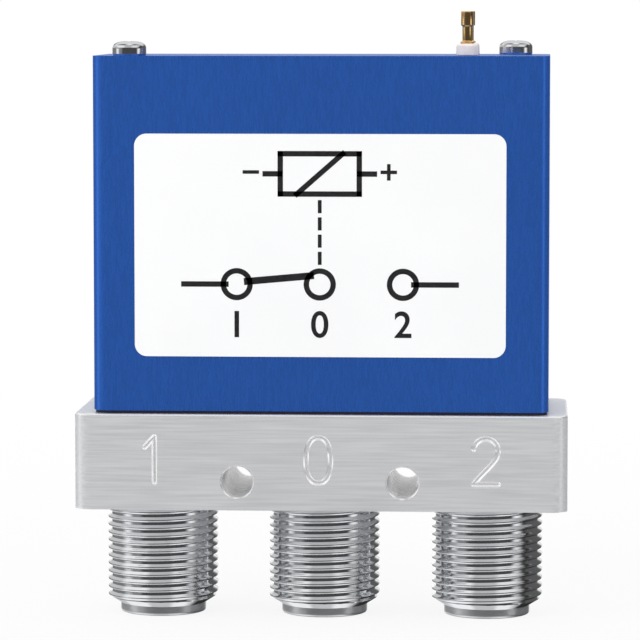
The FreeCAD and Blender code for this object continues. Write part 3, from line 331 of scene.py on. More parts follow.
def anodised_blue(colours):
    """Faint upright grain under the colour, with a few pale specks."""
    finish = Finish("anodised_blue", colours.cover, metallic=0.55)
    finish.shader.inputs["Specular Tint"].default_value = (0.2, 0.4, 0.8, 1)
    grain = finish.noise((3200, 3200, 420), detail=3, distortion=0.8)
    cloud = finish.noise((35, 35, 25), detail=2)
    pattern = finish.plus(finish.times(grain, 0.6), finish.times(cloud, 0.4))
    specks = finish.add("ShaderNodeTexVoronoi", {"Vector": finish.space, "Scale": 260.0,
                                                 "Randomness": 1.0})
    dots = finish.ease(specks.outputs["Distance"], 0.05, 0.02)
    blue = finish.tint(pattern, 0.95, 1.05)
    mix = finish.add("ShaderNodeMix", {"Factor": finish.times(dots, 0.18)}, data_type="RGBA")
    finish.feed(mix.inputs["A"], blue)
    mix.inputs["B"].default_value = (0.25, 0.45, 0.8, 1)
    finish.paint(mix.outputs["Result"])
    finish.polish(grain, 0.24, 0.31)
    finish.relief(grain, 0.003 * MM, 0.5)
    return finish.material


def vinyl_film(colours):
    finish, _ = mottled("vinyl_film", colours.film, (60, 60, 60), (0.99, 1.01), (0.38, 0.46),
                        detail=2)
    finish.relief(finish.noise((1500, 1500, 1500)), 0.002 * MM, 0.3)
    return finish.material


def screen_ink(colours):
    finish, _ = mottled("screen_ink", colours.ink, (2500, 2500, 2500), (0.8, 1.3), (0.42, 0.6))
    return finish.material


def plated_metal(name, rgb, low, high, metallic=1.0):
    """Smooth plating with a faint stain, its roughness between low and high."""
    finish, _ = mottled(name, rgb, (260, 260, 260), (0.96, 1.03), (low, high), metallic=metallic)
    return finish.material


def polished_thread(name, rgb, low, high, spacing, lean):
    """Bright plating on threads in a row. Their polish leans the flanks toward the radius."""
    material = plated_metal(name, rgb, low, high)
    graph = Graph(material.node_tree)
    space = graph.split(graph.add("ShaderNodeTexCoord").outputs["Object"])
    nearest = graph.math("ROUND", graph.math("DIVIDE", space["X"], spacing))
    aside = graph.minus(space["X"], graph.times(nearest, spacing))
    radius = graph.add("ShaderNodeCombineXYZ", {"X": aside, "Y": space["Y"]}).outputs["Vector"]
    outward = graph.vector("NORMALIZE", radius)
    normal = graph.add("ShaderNodeNewGeometry").outputs["Normal"]
    leant = graph.vector("ADD", graph.vector("SCALE", normal, scale=1 - lean),
                         graph.vector("SCALE", outward, scale=lean))
    graph.feed(graph.tree.nodes["Principled BSDF"].inputs["Normal"],
               graph.vector("NORMALIZE", leant))
    return material


def moulded(name, rgb, roughness, mottle_depth=0.004):
    """Plastic, rubber or ceramic with a fine surface, its grain so many millimetres deep."""
    finish, _ = mottled(name, rgb, (900, 900, 900), (0.95, 1.04),
                        (roughness * 0.9, roughness * 1.1))
    finish.relief(finish.noise((6000, 6000, 6000), detail=2), mottle_depth * MM, 0.4)
    return finish.material


def rolled_metal(name, rgb, roughness, grains=(200, 4000, 4000)):
    """Sheet, bar or wire with drawing marks along it."""
    finish, marks = mottled(name, rgb, grains, (0.9, 1.05),
                            (roughness * 0.85, roughness * 1.15), metallic=1.0)
    finish.relief(marks, 0.003 * MM, 0.5)
    return finish.material


def enamelled_wire_painted_shade(name, rgb, wire):
    """Even turns of wire, one above the other, each painted darker toward its edges: painted shade
    across the wire and in the creases between turns.
    """
    finish = Finish(name, rgb, metallic=0.8, roughness=0.35)
    phase = finish.times(finish.split(finish.space)["Z"], math.pi / wire)
    turns = finish.math("ABSOLUTE", finish.math("SINE", phase))
    # Painted shade: the colour falls to 0.45 at the creases between turns.
    finish.paint(finish.tint(turns, 0.45, 1.0))
    finish.relief(turns, wire / 2, 0.8)
    return finish.material


# ---------------------------------------------------------------- mesh building

def rectangle(low_x, low_y, high_x, high_y):
    return [(low_x, low_y), (high_x, low_y), (high_x, high_y), (low_x, high_y)]


def cross_outline(long_x, long_y, wide_x, wide_y):
    """A bar along X and a bar along Y, given by their half sizes."""
    return [(long_x, -long_y), (long_x, long_y), (wide_x, long_y), (wide_x, wide_y),
            (-wide_x, wide_y), (-wide_x, long_y), (-long_x, long_y), (-long_x, -long_y),
            (-wide_x, -long_y), (-wide_x, -wide_y), (wide_x, -wide_y), (wide_x, -long_y)]


def rounded(corners, radius, steps=5, closed=False):
    """The outline with its corners rounded. An open outline keeps its two ends."""
    points = []
    for number, corner in enumerate(corners):
        here = Vector(corner)
        if not closed and number in (0, len(corners) - 1):
            points.append(here)
            continue
        back = Vector(corners[number - 1]) - here
        ahead = Vector(corners[(number + 1) % len(corners)]) - here
        setback = min(radius / math.tan(back.angle(ahead) / 2), 0.49 * back.length,
                      0.49 * ahead.length)
        start = here + back.normalized() * setback
        end = here + ahead.normalized() * setback
        for step in range(steps + 1):
            t = step / steps
            points.append(start * (1 - t) ** 2 + here * 2 * t * (1 - t) + end * t ** 2)
    return points


def skin(bm, rings, closed=False):
    """Faces between neighbouring rings of vertices. A pole is a ring of one repeated vertex."""
    following = rings[1:] + (rings[:1] if closed else [])
    for lower, upper in zip(rings, following):
        for number in range(len(lower)):
            after = (number + 1) % len(lower)
            corners = dict.fromkeys((lower[number], lower[after], upper[after], upper[number]))
            if len(corners) > 2:
                bm.faces.new(corners)


def lathe(bm, profile, columns, closed=False):
    """Turns a (radius, height) outline about the Z axis."""
    angles = [2 * math.pi * column / columns for column in range(columns)]
    rings = []
    for radius, height in profile:
        if radius < TINY:
            rings.append([bm.verts.new((0, 0, height))] * columns)
            continue
        rings.append([
            bm.verts.new((radius * math.cos(a), radius * math.sin(a), height)) for a in angles
        ])
    skin(bm, rings, closed)


def prism(bm, outline, low, high, low_scale=1.0, high_scale=1.0):
    """A flat outline in X and Y, given thickness along Z. Two scales make it taper."""
    rings = [[bm.verts.new((x * scale, y * scale, z)) for x, y in outline]
             for z, scale in ((low, low_scale), (high, high_scale))]
    skin(bm, rings)
    for ring in rings:
        bm.faces.new(ring)


def rounded_box(bm, low, high, corner, steps=12):
    """An upright box with round upright edges."""
    prism(bm, rounded(rectangle(low.x, low.y, high.x, high.y), corner, steps, True),
          low.z, high.z)


def bevel_rim(bm, height, width, finish_number=-1):
    """Rounds the edges that lie at one height."""
    rim = [edge for edge in bm.edges
           if all(abs(vert.co.z - height) < TINY for vert in edge.verts)]
    bmesh.ops.bevel(bm, geom=rim, offset=width, segments=5, profile=0.5, affect="EDGES",
                    material=finish_number)


def new_piece(name, bm, *materials):
    """Makes a piece of the mesh: doubles merged, faces outwards, the object at the origin."""
    bmesh.ops.remove_doubles(bm, verts=bm.verts, dist=1e-6)
    bmesh.ops.recalc_face_normals(bm, faces=bm.faces)
    mesh = bpy.data.meshes.new(name)
    bm.to_mesh(mesh)
    bm.free()
    return link_piece(name, mesh, *materials)


def link_piece(name, mesh, *materials):
    piece = bpy.data.objects.new(name, mesh)
    bpy.context.scene.collection.objects.link(piece)
    for material in materials:
        mesh.materials.append(material)
    return piece


def bake(piece):
    """Applies the modifiers by swapping in the evaluated mesh."""
    graph = bpy.context.evaluated_depsgraph_get()
    mesh = bpy.data.meshes.new_from_object(piece.evaluated_get(graph))
    piece.modifiers.clear()
    piece.data = mesh
    mesh.name = piece.name
    return piece


def cut(piece, cutter):
    """Takes the cutter out of the piece. The new walls keep the cutter's material."""
    modifier = piece.modifiers.new("cut", "BOOLEAN")
    modifier.operation = "DIFFERENCE"
    modifier.solver = "EXACT"
    modifier.material_mode = "TRANSFER"
    modifier.object = cutter
    bake(piece)
    bpy.data.objects.remove(cutter)


def smooth(piece, crease=32):
    """Smooth shading with crisp creases, and normals that keep the flat faces flat."""
    piece.data.shade_smooth()
    piece.data.set_sharp_from_angle(angle=math.radians(crease))
    weighted = piece.modifiers.new("weighted", "WEIGHTED_NORMAL")
    weighted.keep_sharp = True
    return bake(piece)


def move(bm, matrix):
    bmesh.ops.transform(bm, matrix=matrix, verts=bm.verts)


def round_cutter(name, profile, place, material, along_y=False):
    bm = bmesh.new()
    lathe(bm, profile, 96)
    if along_y:
        move(bm, Matrix.Rotation(math.pi / 2, 4, "X"))
    move(bm, Matrix.Translation(place))
    return new_piece(name, bm, material)


# ---------------------------------------------------------------- base block

def arc(centre, radius_x, radius_z, start, end, steps, fullness=1.0):
    """Points of an ellipse in the front plane, angles in degrees. Below 1, fuller shoulders."""
    points = []
    for step in range(steps + 1):
        angle = math.radians(start + (end - start) * step / steps)
        out, up = math.cos(angle), math.sin(angle)
        points.append(Vector((
            centre[0] + radius_x * math.copysign(abs(out) ** fullness, out),
            centre[1] + radius_z * math.copysign(abs(up) ** fullness, up),
        )))
    return points


def bend(start, handle, other_handle, end, steps):
    """A cubic curve between two points of the front plane."""
    points = []
    for step in range(steps + 1):
        t = step / steps
        points.append(
            start * (1 - t) ** 3 + handle * 3 * t * (1 - t) ** 2
            + other_handle * 3 * t ** 2 * (1 - t) + end * t ** 3
        )
    return points


def digit_strokes(digit, x, sizes):
    """The engraver's strokes of a port number: (points, is it a closed ring)."""
    half = sizes.groove_width / 2
    foot = BLOCK_LOW.z + sizes.digit_rise + half
    head = BLOCK_LOW.z + sizes.digit_rise + sizes.digit_height - half
    reach = sizes.digit_width / 2 - half
    if digit == "1":
        top = Vector((x, head))
        flag = top - Vector((1.36, 1.5)) * MM  # the flag's end, left of the head and under it
        return [([top, Vector((x, foot))], False), ([top, flag], False)]
    if digit == "0":
        middle = (x - 0.2 * MM, (foot + head) / 2)
        ring = arc(middle, reach, (head - foot) / 2, 0, 360, 96, fullness=0.86)
        return [(ring[:-1], True)]
    # A 2: a bow from left to right over the top, a tail that falls to the corner, and a foot.
    bow = arc((x, head - reach), reach, reach, 172, -18, 36)
    corner = Vector((x - reach, foot))
    fall = (bow[-1] - bow[-2]).normalized()
    tail = bend(bow[-1], bow[-1] + fall * reach * 0.7,
                corner + Vector((0.62, 0.78)) * reach * 1.3, corner, 16)
    return [(bow + tail[1:], False), ([corner, Vector((x + reach, foot))], False)]


def groove_cutter(path, closed, sizes, wall, floor):
    """An engraver's groove along a path in the block's front face, round at open ends."""
    outside = 0.1 * MM
    slope = sizes.groove_depth / ((sizes.groove_width - sizes.groove_floor) / 2)
    rim = sizes.groove_width / 2 + outside / slope
    levels = ((rim, BLOCK_LOW.y - outside),
              (sizes.groove_floor / 2, BLOCK_LOW.y + sizes.groove_depth))
    count = len(path)
    headings = []
    for number in range(count):
        before = path[number - 1] if closed or number else path[number]
        after = path[(number + 1) % count] if closed or number < count - 1 else path[number]
        headings.append(math.atan2(after.y - before.y, after.x - before.x))
    left = [(point, heading + math.pi / 2) for point, heading in zip(path, headings)]
    right = [(point, heading - math.pi / 2) for point, heading in zip(path, headings)]
    if not closed:
        fans = [math.pi * step / 12 for step in range(1, 12)]
        end = [(path[-1], headings[-1] + math.pi / 2 - fan) for fan in fans]
        start = [(path[0], headings[0] - math.pi / 2 - fan) for fan in fans]
    bm = bmesh.new()
    rings = []
    for reach, y in levels:
        sides = [
            [bm.verts.new((p.x + reach * math.cos(a), y, p.y + reach * math.sin(a)))
             for p, a in tour] for tour in (left, right)
        ]
        for number in range(count if closed else count - 1):
            after = (number + 1) % count
            bm.faces.new((sides[0][number], sides[0][after], sides[1][after], sides[1][number]))
        if closed:
            rings.append(sides)
            continue
        caps = [[bm.verts.new((p.x + reach * math.cos(a), y, p.y + reach * math.sin(a)))
                 for p, a in tour] for tour in (end, start)]
        bm.faces.new([sides[0][-1], *caps[0], sides[1][-1]])
        bm.faces.new([sides[1][0], *caps[1], sides[0][0]])
        rings.append([sides[0] + caps[0] + sides[1][::-1] + caps[1]])
    for outer, inner in zip(*rings):
        skin(bm, [outer, inner])
    cutter = new_piece("groove", bm, wall, floor)
    for face in cutter.data.polygons:
        face.material_index = int(abs(face.normal.y) > 0.99)
    return cutter


class SWITCH_OT_base_block(bpy.types.Operator):
    """Build the brushed block with its mounting holes, port bores and engraved port numbers"""

    bl_idname = "switch.base_block"
    bl_label = "Base block"

    def execute(self, context):
        sizes, colours = context.scene.switch_sizes, context.scene.switch_colours
        brushed, bright = brushed_aluminium(colours), cut_aluminium()
        # The bores' finish is painted paler than the block: painted light in their shade.
        bore_finish_painted_light = reamed_aluminium()
        bm = bmesh.new()
        rounded_box(bm, BLOCK_LOW, BLOCK_HIGH, sizes.block_corner, 10)
        bevel_rim(bm, BLOCK_LOW.z, sizes.block_edge, 0)
        # The top edge's rounding takes the pale cut finish: a painted highlight along that edge.
        bevel_rim(bm, BLOCK_HIGH.z, sizes.block_edge, 1)
        block = new_piece("base_block", bm, brushed, bright)
        for side in (-1, 1):
            self.drill(block, side * sizes.hole_spacing / 2, sizes, bore_finish_painted_light, bright)
        for port in PORTS:
            self.bore(block, port, sizes, bore_finish_painted_light)
        self.mill_cavity(block, sizes, bore_finish_painted_light)
        for port in PORTS:
            for path, closed in digit_strokes(port, port_x(port), sizes):
                # Groove walls take the pale cut finish: bare cut metal and a painted highlight.
                cut(block, groove_cutter(path, closed, sizes, bright, brushed))
        smooth(block, crease=24)
        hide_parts("rf_body")
        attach(block, HOUSING)
        return {"FINISHED"}

    def drill(self, block, x, sizes, wall, bright):
        """A through hole along Y with a bright countersink at both mouths, whose pale finish is
        partly a painted highlight.
        """
        half_depth = (BLOCK_HIGH.y - BLOCK_LOW.y) / 2
        radius, chamfer, past = sizes.hole_radius, sizes.hole_chamfer, 0.5 * MM
        wide = (radius + chamfer + past, half_depth + past)
        inner = (radius, half_depth - chamfer)
        profile = [(0, -wide[1]), (wide[0], -wide[1]), (inner[0], -inner[1]), inner, wide,
                   (0, wide[1])]
        place = Vector((x, 0, BLOCK_LOW.z + sizes.hole_rise))
        cutter = round_cutter("drill", profile, place, wall, along_y=True)
        cutter.data.materials.append(bright)
        for face in cutter.data.polygons:
            face.material_index = int(0.3 < abs(face.normal.y) < 0.9)
        cut(block, cutter)

    def bore(self, block, port, sizes, material):
        """The stepped seat of a jack, from the underside up to the cavity."""
        spigot_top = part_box(f"jack_{port}_shell")[1].z
        cavity_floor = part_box("cavity_cover")[0].z - sizes.cavity_height
        below, above = BLOCK_LOW.z - MM, cavity_floor + 0.1 * MM
        profile = [
            (0, below), (sizes.spigot_radius, below), (sizes.spigot_radius, spigot_top),
            (sizes.bore_radius, spigot_top), (sizes.bore_radius, above), (0, above),
        ]
        place = Vector((port_x(port), 0, 0))
        cut(block, round_cutter("bore", profile, place, material))

    def mill_cavity(self, block, sizes, material):
        """The switching channel, and over it the recess for the plate that closes it."""
        low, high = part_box("cavity_cover")
        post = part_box("right_cover_post")[0]
        play, room = 0.05 * MM, sizes.post_room
        channel = rectangle(-sizes.cavity_half_length, -sizes.cavity_half_width,
                            sizes.cavity_half_length, sizes.cavity_half_width)
        recess = cross_outline(high.x + play, post.y - room + play,
                               post.x - room + play, high.y + play)
        for outline, floor in ((channel, low.z - sizes.cavity_height), (recess, low.z)):
            bm = bmesh.new()
            prism(bm, outline, floor, high.z + MM)
            cut(block, new_piece("mill", bm, material))


def port_x(port):
    low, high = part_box(f"jack_{port}_shell")
    return (low.x + high.x) / 2


# ---------------------------------------------------------------- cover, gasket and label

class SWITCH_OT_cover(bpy.types.Operator):
    """Build the deep blue cover and finish the gasket under it"""

    bl_idname = "switch.cover"
    bl_label = "Cover and gasket"

    def execute(self, context):
        sizes, colours = context.scene.switch_sizes, context.scene.switch_colours
        blue = anodised_blue(colours)
        lift = Vector((0, 0, sizes.cover_lift))
        wall = Vector((1, 1, 1)) * sizes.cover_wall
        inner_low = COVER_LOW + wall
        inner_low.z = COVER_LOW.z - MM
        cover = self.upright("relay_cover", COVER_LOW + lift, COVER_HIGH, sizes.cover_corner,
                             blue, sizes.cover_rounding)
        cut(cover, self.upright("hollow", inner_low, COVER_HIGH - wall,
                                sizes.cover_corner - sizes.cover_wall, blue,
                                sizes.cover_rounding / 2))
        smooth(cover)
        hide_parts("cover")
        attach(cover, HOUSING)
        self.gasket(sizes, moulded("gasket_rubber", colours.rubber, 0.6))
        return {"FINISHED"}

    def gasket(self, sizes, rubber):
        """A flat ring squeezed under the cover's wall, a little inside its outline. Its near black
        band also stands in for the shade under the cover.
        """
        low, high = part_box("cover_gasket")
        inset = Vector((sizes.cover_lift, sizes.cover_lift, 0)) / 2
        top = high + Vector((0, 0, sizes.cover_lift))
        ring = self.upright("gasket", low + inset, top - inset, sizes.cover_corner, rubber)
        wall = Vector((sizes.cover_wall, sizes.cover_wall, -MM))
        cut(ring, self.upright("gasket_hole", low + wall, top - wall,
                               sizes.cover_corner - sizes.cover_wall, rubber))
        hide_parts("cover_gasket")
        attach(ring, HOUSING)

    def upright(self, name, low, high, corner, material, rounding=0.0):
        """An upright box with round upright edges, and a round edge about its top."""
        bm = bmesh.new()
        rounded_box(bm, low, high, corner)
        if rounding:
            bevel_rim(bm, high.z, rounding)
        return new_piece(name, bm, material)


def dress_node(node, material):
    """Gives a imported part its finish."""
    slots = frame["nodes"][node].data.materials
    slots.clear()
    slots.append(material)


# Places on the label's diagram, in millimetres from its centre.
CONTACT_PLACES = (-11.6, 0, 11.6)
CONTACT_LEVEL = -5.4
COIL_LEVEL = 10.0


class SWITCH_OT_label(bpy.types.Operator):
    """Finish the white label and print a plain switching diagram on it"""

    bl_idname = "switch.label"
    bl_label = "Label"

    def execute(self, context):
        sizes, colours = context.scene.switch_sizes, context.scene.switch_colours
        dress_node("label", vinyl_film(colours))
        centre = (LABEL_LOW + LABEL_HIGH) / 2
        bm = bmesh.new()
        self.diagram(bm, sizes)
        for x, character in zip(CONTACT_PLACES, PORTS):
            self.write(bm, character, x, CONTACT_LEVEL - 5.8, 5.2, sizes)
        for x, character in ((9.6, "+"), (-9.6, "−")):
            self.write(bm, character, x, COIL_LEVEL, 4.6, sizes)
        stand_up = Matrix.Rotation(math.pi / 2, 4, "X")
        move(bm, Matrix.Translation((centre.x, LABEL_LOW.y, centre.z)) @ stand_up)
        diagram = new_piece("label_print", bm, screen_ink(colours))
        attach(diagram, HOUSING)
        return {"FINISHED"}

    def diagram(self, bm, sizes):
        """Coil at the top, a dashed link, and a lever from the middle contact to port 1."""
        coil = rectangle(-5.5, COIL_LEVEL - 2.8, 5.5, COIL_LEVEL + 2.8)
        bars = [(start, end, 1) for start, end in zip(coil, coil[1:] + coil[:1])]
        bars.append(((-3.2, coil[0][1]), (3.2, coil[2][1]), 1))
        for side in (-1, 1):
            bars.append(((side * 5.5, COIL_LEVEL), (side * 7.6, COIL_LEVEL), 1))
        for rung in range(4):
            low = -2.4 + rung * 2.4
            bars.append(((0, low), (0, low + 1.3), 0.7))
        for start, end, share in bars:
            self.bar(bm, start, end, share, sizes)
        for x in CONTACT_PLACES:
            self.ring(bm, (x, CONTACT_LEVEL), 1.5, sizes)
        self.bar(bm, (-10.1, CONTACT_LEVEL + 0.4), (-1.3, CONTACT_LEVEL + 1.2), 1.3, sizes)
        for side in (-1, 1):
            self.bar(bm, (side * 13.1, CONTACT_LEVEL), (side * 19.0, CONTACT_LEVEL), 1, sizes)

    def bar(self, bm, start, end, share, sizes):
        """A stroke between two points in millimetres, as wide as a share of a line."""
        start, end = Vector(start) * MM, Vector(end) * MM
        along = (end - start).normalized() * sizes.print_line * share / 2
        aside = Vector((-along.y, along.x))
        outline = [start - along - aside, end + along - aside, end + along + aside,
                   start - along + aside]
        prism(bm, outline, 0, sizes.print_thickness)

    def ring(self, bm, centre, radius, sizes):
        centre, radius, top = Vector(centre) * MM, radius * MM, sizes.print_thickness
        outer = radius + sizes.print_line
        angles = [2 * math.pi * step / 40 for step in range(40)]
        skin(bm, [
            [bm.verts.new((centre.x + r * math.cos(a), centre.y + r * math.sin(a), z))
             for a in angles]
            for r, z in ((radius, 0), (outer, 0), (outer, top), (radius, top))
        ], closed=True)

    def write(self, bm, text, x, y, size, sizes):
        """Adds a character as a thin raised shape, centred on a point in millimetres."""
        curve = bpy.data.curves.new("character", "FONT")
        curve.body = text
        curve.size = size * MM
        curve.align_x = "CENTER"
        curve.align_y = "CENTER"
        curve.extrude = sizes.print_thickness / 2
        curve.offset = curve.size * 0.012
        holder = bpy.data.objects.new("character", curve)
        bpy.context.scene.collection.objects.link(holder)
        graph = bpy.context.evaluated_depsgraph_get()
        mesh = bpy.data.meshes.new_from_object(holder.evaluated_get(graph))
        mesh.transform(Matrix.Translation((x * MM, y * MM, sizes.print_thickness / 2)))
        bm.from_mesh(mesh)
        bpy.data.objects.remove(holder)
        bpy.data.meshes.remove(mesh)


# ---------------------------------------------------------------- threaded jacks

THREAD_COLUMNS = 120
ROWS_PER_TURN = 20
# The flank starts and ends at these shares of the way along the axis from the root's middle to
# the crest's middle. Then come how rounded the flank is, and how fast the lead-in cone widens.
THREAD_SHAPE = {"Root flat": 0.32, "Crest edge": 0.85, "Roundness": 0.3, "Lead-in slope": 1.6}


def new_tree(name, sockets):
    """A geometry tree with named inputs, given as (name, kind, default)."""
    tree = bpy.data.node_groups.new(name, "GeometryNodeTree")
    tree.interface.new_socket("Geometry", in_out="INPUT", socket_type="NodeSocketGeometry")
    tree.interface.new_socket("Geometry", in_out="OUTPUT", socket_type="NodeSocketGeometry")
    for label, kind, default in sockets:
        socket = tree.interface.new_socket(label, in_out="INPUT", socket_type="NodeSocket" + kind)
        if default is not None:
            socket.default_value = default
    graph = Graph(tree)
    entry = graph.add("NodeGroupInput")
    return graph, entry.outputs


def end_tree(graph, geometry, material):
    """Every tree ends in Realize Instances and Set Material."""
    real = graph.add("GeometryNodeRealizeInstances", {"Geometry": geometry})
    painted = graph.add("GeometryNodeSetMaterial",
                        {"Geometry": real.outputs["Geometry"], "Material": material})
    graph.add("NodeGroupOutput", {"Geometry": painted.outputs["Geometry"]})
    return graph.tree


def grow(name, tree, values, base=None):
    """Runs a geometry tree on an object and returns the plain piece."""
    holder = link_piece(name, base or bpy.data.meshes.new(name))
    modifier = holder.modifiers.new("grow", "NODES")
    modifier.node_group = tree
    for socket in tree.interface.items_tree:
        if socket.in_out == "INPUT" and socket.name in values:
            modifier[socket.identifier] = values[socket.name]
    return bake(holder)


def thread_tree():
    """A right-hand thread: a grid whose rows follow the helix, cut off by a lead-in cone."""
    graph, given = new_tree("Coupling thread", [
        ("Pitch", "Float", 0.001), ("Crest radius", "Float", 0.008),
        ("Root radius", "Float", 0.007), ("Roundness", "Float", 0.3),
        ("Root flat", "Float", 0.2), ("Crest edge", "Float", 0.85),
        ("Nose radius", "Float", 0.006), ("Lead-in slope", "Float", 1.4),
        ("Foot", "Float", 0.001), ("Top", "Float", 0.016), ("Turns", "Float", 16.0),
        ("First crest", "Float", 0.0), ("Columns", "Int", 97), ("Rows", "Int", 200),
        ("Material", "Material", None),
    ])
    grid = graph.add("GeometryNodeMeshGrid", {
        "Size X": 1.0, "Size Y": 1.0, "Vertices X": given["Columns"], "Vertices Y": given["Rows"],
    })
    place = graph.split(graph.add("GeometryNodeInputPosition").outputs["Position"])
    round_share = graph.plus(place["X"], 0.5)
    turn = graph.times(graph.plus(place["Y"], 0.5), given["Turns"])
    from_crest = graph.math("ABSOLUTE", graph.minus(
        graph.times(graph.math("FRACT", turn), 2.0), 1.0))
    straight = graph.add("ShaderNodeMapRange", {
        "Value": graph.minus(1.0, from_crest), "From Min": given["Root flat"],
        "From Max": given["Crest edge"],
    }).outputs["Result"]
    flank = graph.add("ShaderNodeMix", {
        "Factor": given["Roundness"], "A": straight, "B": graph.ease(straight, 0.0, 1.0),
    }).outputs["Result"]
    depth = graph.minus(given["Crest radius"], given["Root radius"])
    helix = graph.plus(given["Root radius"], graph.times(flank, depth))
    climb = graph.minus(graph.plus(turn, round_share), 2.5)
    height = graph.plus(given["First crest"], graph.times(climb, given["Pitch"]))
    clipped = graph.math("MINIMUM", graph.math("MAXIMUM", height, given["Foot"]), given["Top"])
    cone = graph.plus(given["Nose radius"], graph.times(
        graph.minus(clipped, given["Foot"]), given["Lead-in slope"]))
    at_top = graph.math("GREATER_THAN", height, graph.minus(given["Top"], 1e-6))
    ended = graph.add("ShaderNodeMix", {"Factor": at_top, "A": helix, "B": given["Root radius"]})
    radius = graph.math("MINIMUM", ended.outputs["Result"], cone)
    angle = graph.times(round_share, 2 * math.pi)
    moved = graph.add("ShaderNodeCombineXYZ", {
        "X": graph.times(radius, graph.math("COSINE", angle)),
        "Y": graph.times(radius, graph.math("SINE", angle)),
        "Z": clipped,
    })
    shaped = graph.add("GeometryNodeSetPosition", {
        "Geometry": grid.outputs["Mesh"], "Position": moved.outputs["Vector"],
    })
    merged = graph.add("GeometryNodeMergeByDistance",
                       {"Geometry": shaped.outputs["Geometry"], "Distance": 2e-6})
    return end_tree(graph, merged.outputs["Geometry"], given["Material"])


class SWITCH_OT_jacks(bpy.types.Operator):
    """Build the three threaded jack shells, and finish their contacts and beads"""

    bl_idname = "switch.jacks"
    bl_label = "Threaded jacks"

    def execute(self, context):
        sizes, colours = context.scene.switch_sizes, context.scene.switch_colours
        nickel = polished_thread("nickel_plate", colours.nickel, 0.08, 0.12,
                                 spacing=port_x("2") - port_x("0"), lean=0.5)
        satin = plated_metal("nickel_satin", colours.nickel, 0.28, 0.34, metallic=0.88)
        master = self.shell(sizes, nickel, satin)
        for port in PORTS:
            mesh = master.data.copy()
            mesh.transform(Matrix.Translation((port_x(port), 0, 0)))
            jack = link_piece(f"threaded_jack_{port}", mesh)
            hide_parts(f"jack_{port}_shell")
            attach(jack, HOUSING)
        bpy.data.objects.remove(master)
        gold = plated_metal("contact_gold", colours.gold, 0.14, 0.24)
        white = moulded("bead_ptfe", colours.ptfe, 0.5)
        for port in PORTS:
            dress_node(f"jack_{port}_contact", gold)
            dress_node(f"jack_{port}_bead", white)
            dress_node(f"jack_{port}_upper_bead", white)
        return {"FINISHED"}

    def shell(self, sizes, nickel, satin):
        """One jack on the Z axis: the grown thread, joined to the turned nose, bore and spigot."""
        low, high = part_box("jack_0_shell")
        crest = (high.x - low.x) / 2
        turns = math.ceil((BLOCK_LOW.z - sizes.nose_length) / sizes.thread_pitch) + 3
        thread = grow("thread", thread_tree(), {
            **THREAD_SHAPE, "Pitch": sizes.thread_pitch, "Crest radius": crest,
            "Root radius": sizes.thread_root, "Nose radius": sizes.nose_radius,
            "Foot": sizes.nose_length, "Top": BLOCK_LOW.z, "Turns": float(turns),
            "First crest": sizes.lowest_crest, "Columns": THREAD_COLUMNS + 1,
            "Rows": turns * ROWS_PER_TURN + 1, "Material": nickel,
        })
        bm = bmesh.new()
        bm.from_mesh(thread.data)
        bpy.data.objects.remove(thread)
        edge = 0.4 * MM
        nose = rounded([
            (sizes.nose_radius, sizes.nose_length), (sizes.nose_radius, 0),
            (sizes.mouth_radius, 0), (sizes.mouth_radius, sizes.mouth_depth),
        ], edge, 5)
        nose.insert(1, Vector((sizes.nose_radius, edge * 1.1)))
        inner = [
            (sizes.bore_radius, sizes.mouth_depth), (sizes.bore_radius, high.z),
            (sizes.spigot_radius, high.z), (sizes.spigot_radius, BLOCK_LOW.z),
            (sizes.thread_root, BLOCK_LOW.z),
        ]
        lathe(bm, nose + inner, THREAD_COLUMNS)
        for face in bm.faces:  # satin from the mouth to the end of the nose ring
            face.material_index = int(face.calc_center_median().z < sizes.nose_length)
        shell = new_piece("jack_master", bm, nickel, satin)
        return smooth(shell, crease=50)


# ---------------------------------------------------------------- screws and terminals

def layout_tree():
    """Stands a piece on each point of the base mesh, each turned by its own angle."""
    graph, given = new_tree("Stand at points", [
        ("Piece", "Object", None), ("Most turn", "Float", 0.0), ("Seed", "Int", 3),
        ("Material", "Material", None),
    ])
    piece = graph.add("GeometryNodeObjectInfo", {"Object": given["Piece"]},
                      transform_space="ORIGINAL")
    spin = graph.add("FunctionNodeRandomValue", data_type="FLOAT")
    # For plain numbers the node's Max is input 3 and its Value is output 1.
    graph.feed(spin.inputs[3], given["Most turn"])
    graph.feed(spin.inputs["Seed"], given["Seed"])
    turned = graph.add("ShaderNodeCombineXYZ", {"Z": spin.outputs[1]})
    points = graph.add("GeometryNodeMeshToPoints", {"Mesh": given["Geometry"]})
    stood = graph.add("GeometryNodeInstanceOnPoints", {
        "Points": points.outputs["Points"], "Instance": piece.outputs["Geometry"],
        "Rotation": turned.outputs["Vector"],
    })
    return end_tree(graph, stood.outputs["Instances"], given["Material"])


def stand_at(name, piece, spots, material, most_turn):
    """Copies of a piece at the given spots, as one plain piece. Turns are in radians."""
    base = bpy.data.meshes.new(name)
    base.from_pydata(spots, [], [])
    made = grow(name, layout_tree(),
                {"Piece": piece, "Most turn": most_turn, "Material": material}, base)
    bpy.data.objects.remove(piece)
    return made


def foot_of(node):
    """The middle of a part's lowest level."""
    low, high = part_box(node)
    return Vector(((low.x + high.x) / 2, (low.y + high.y) / 2, low.z))


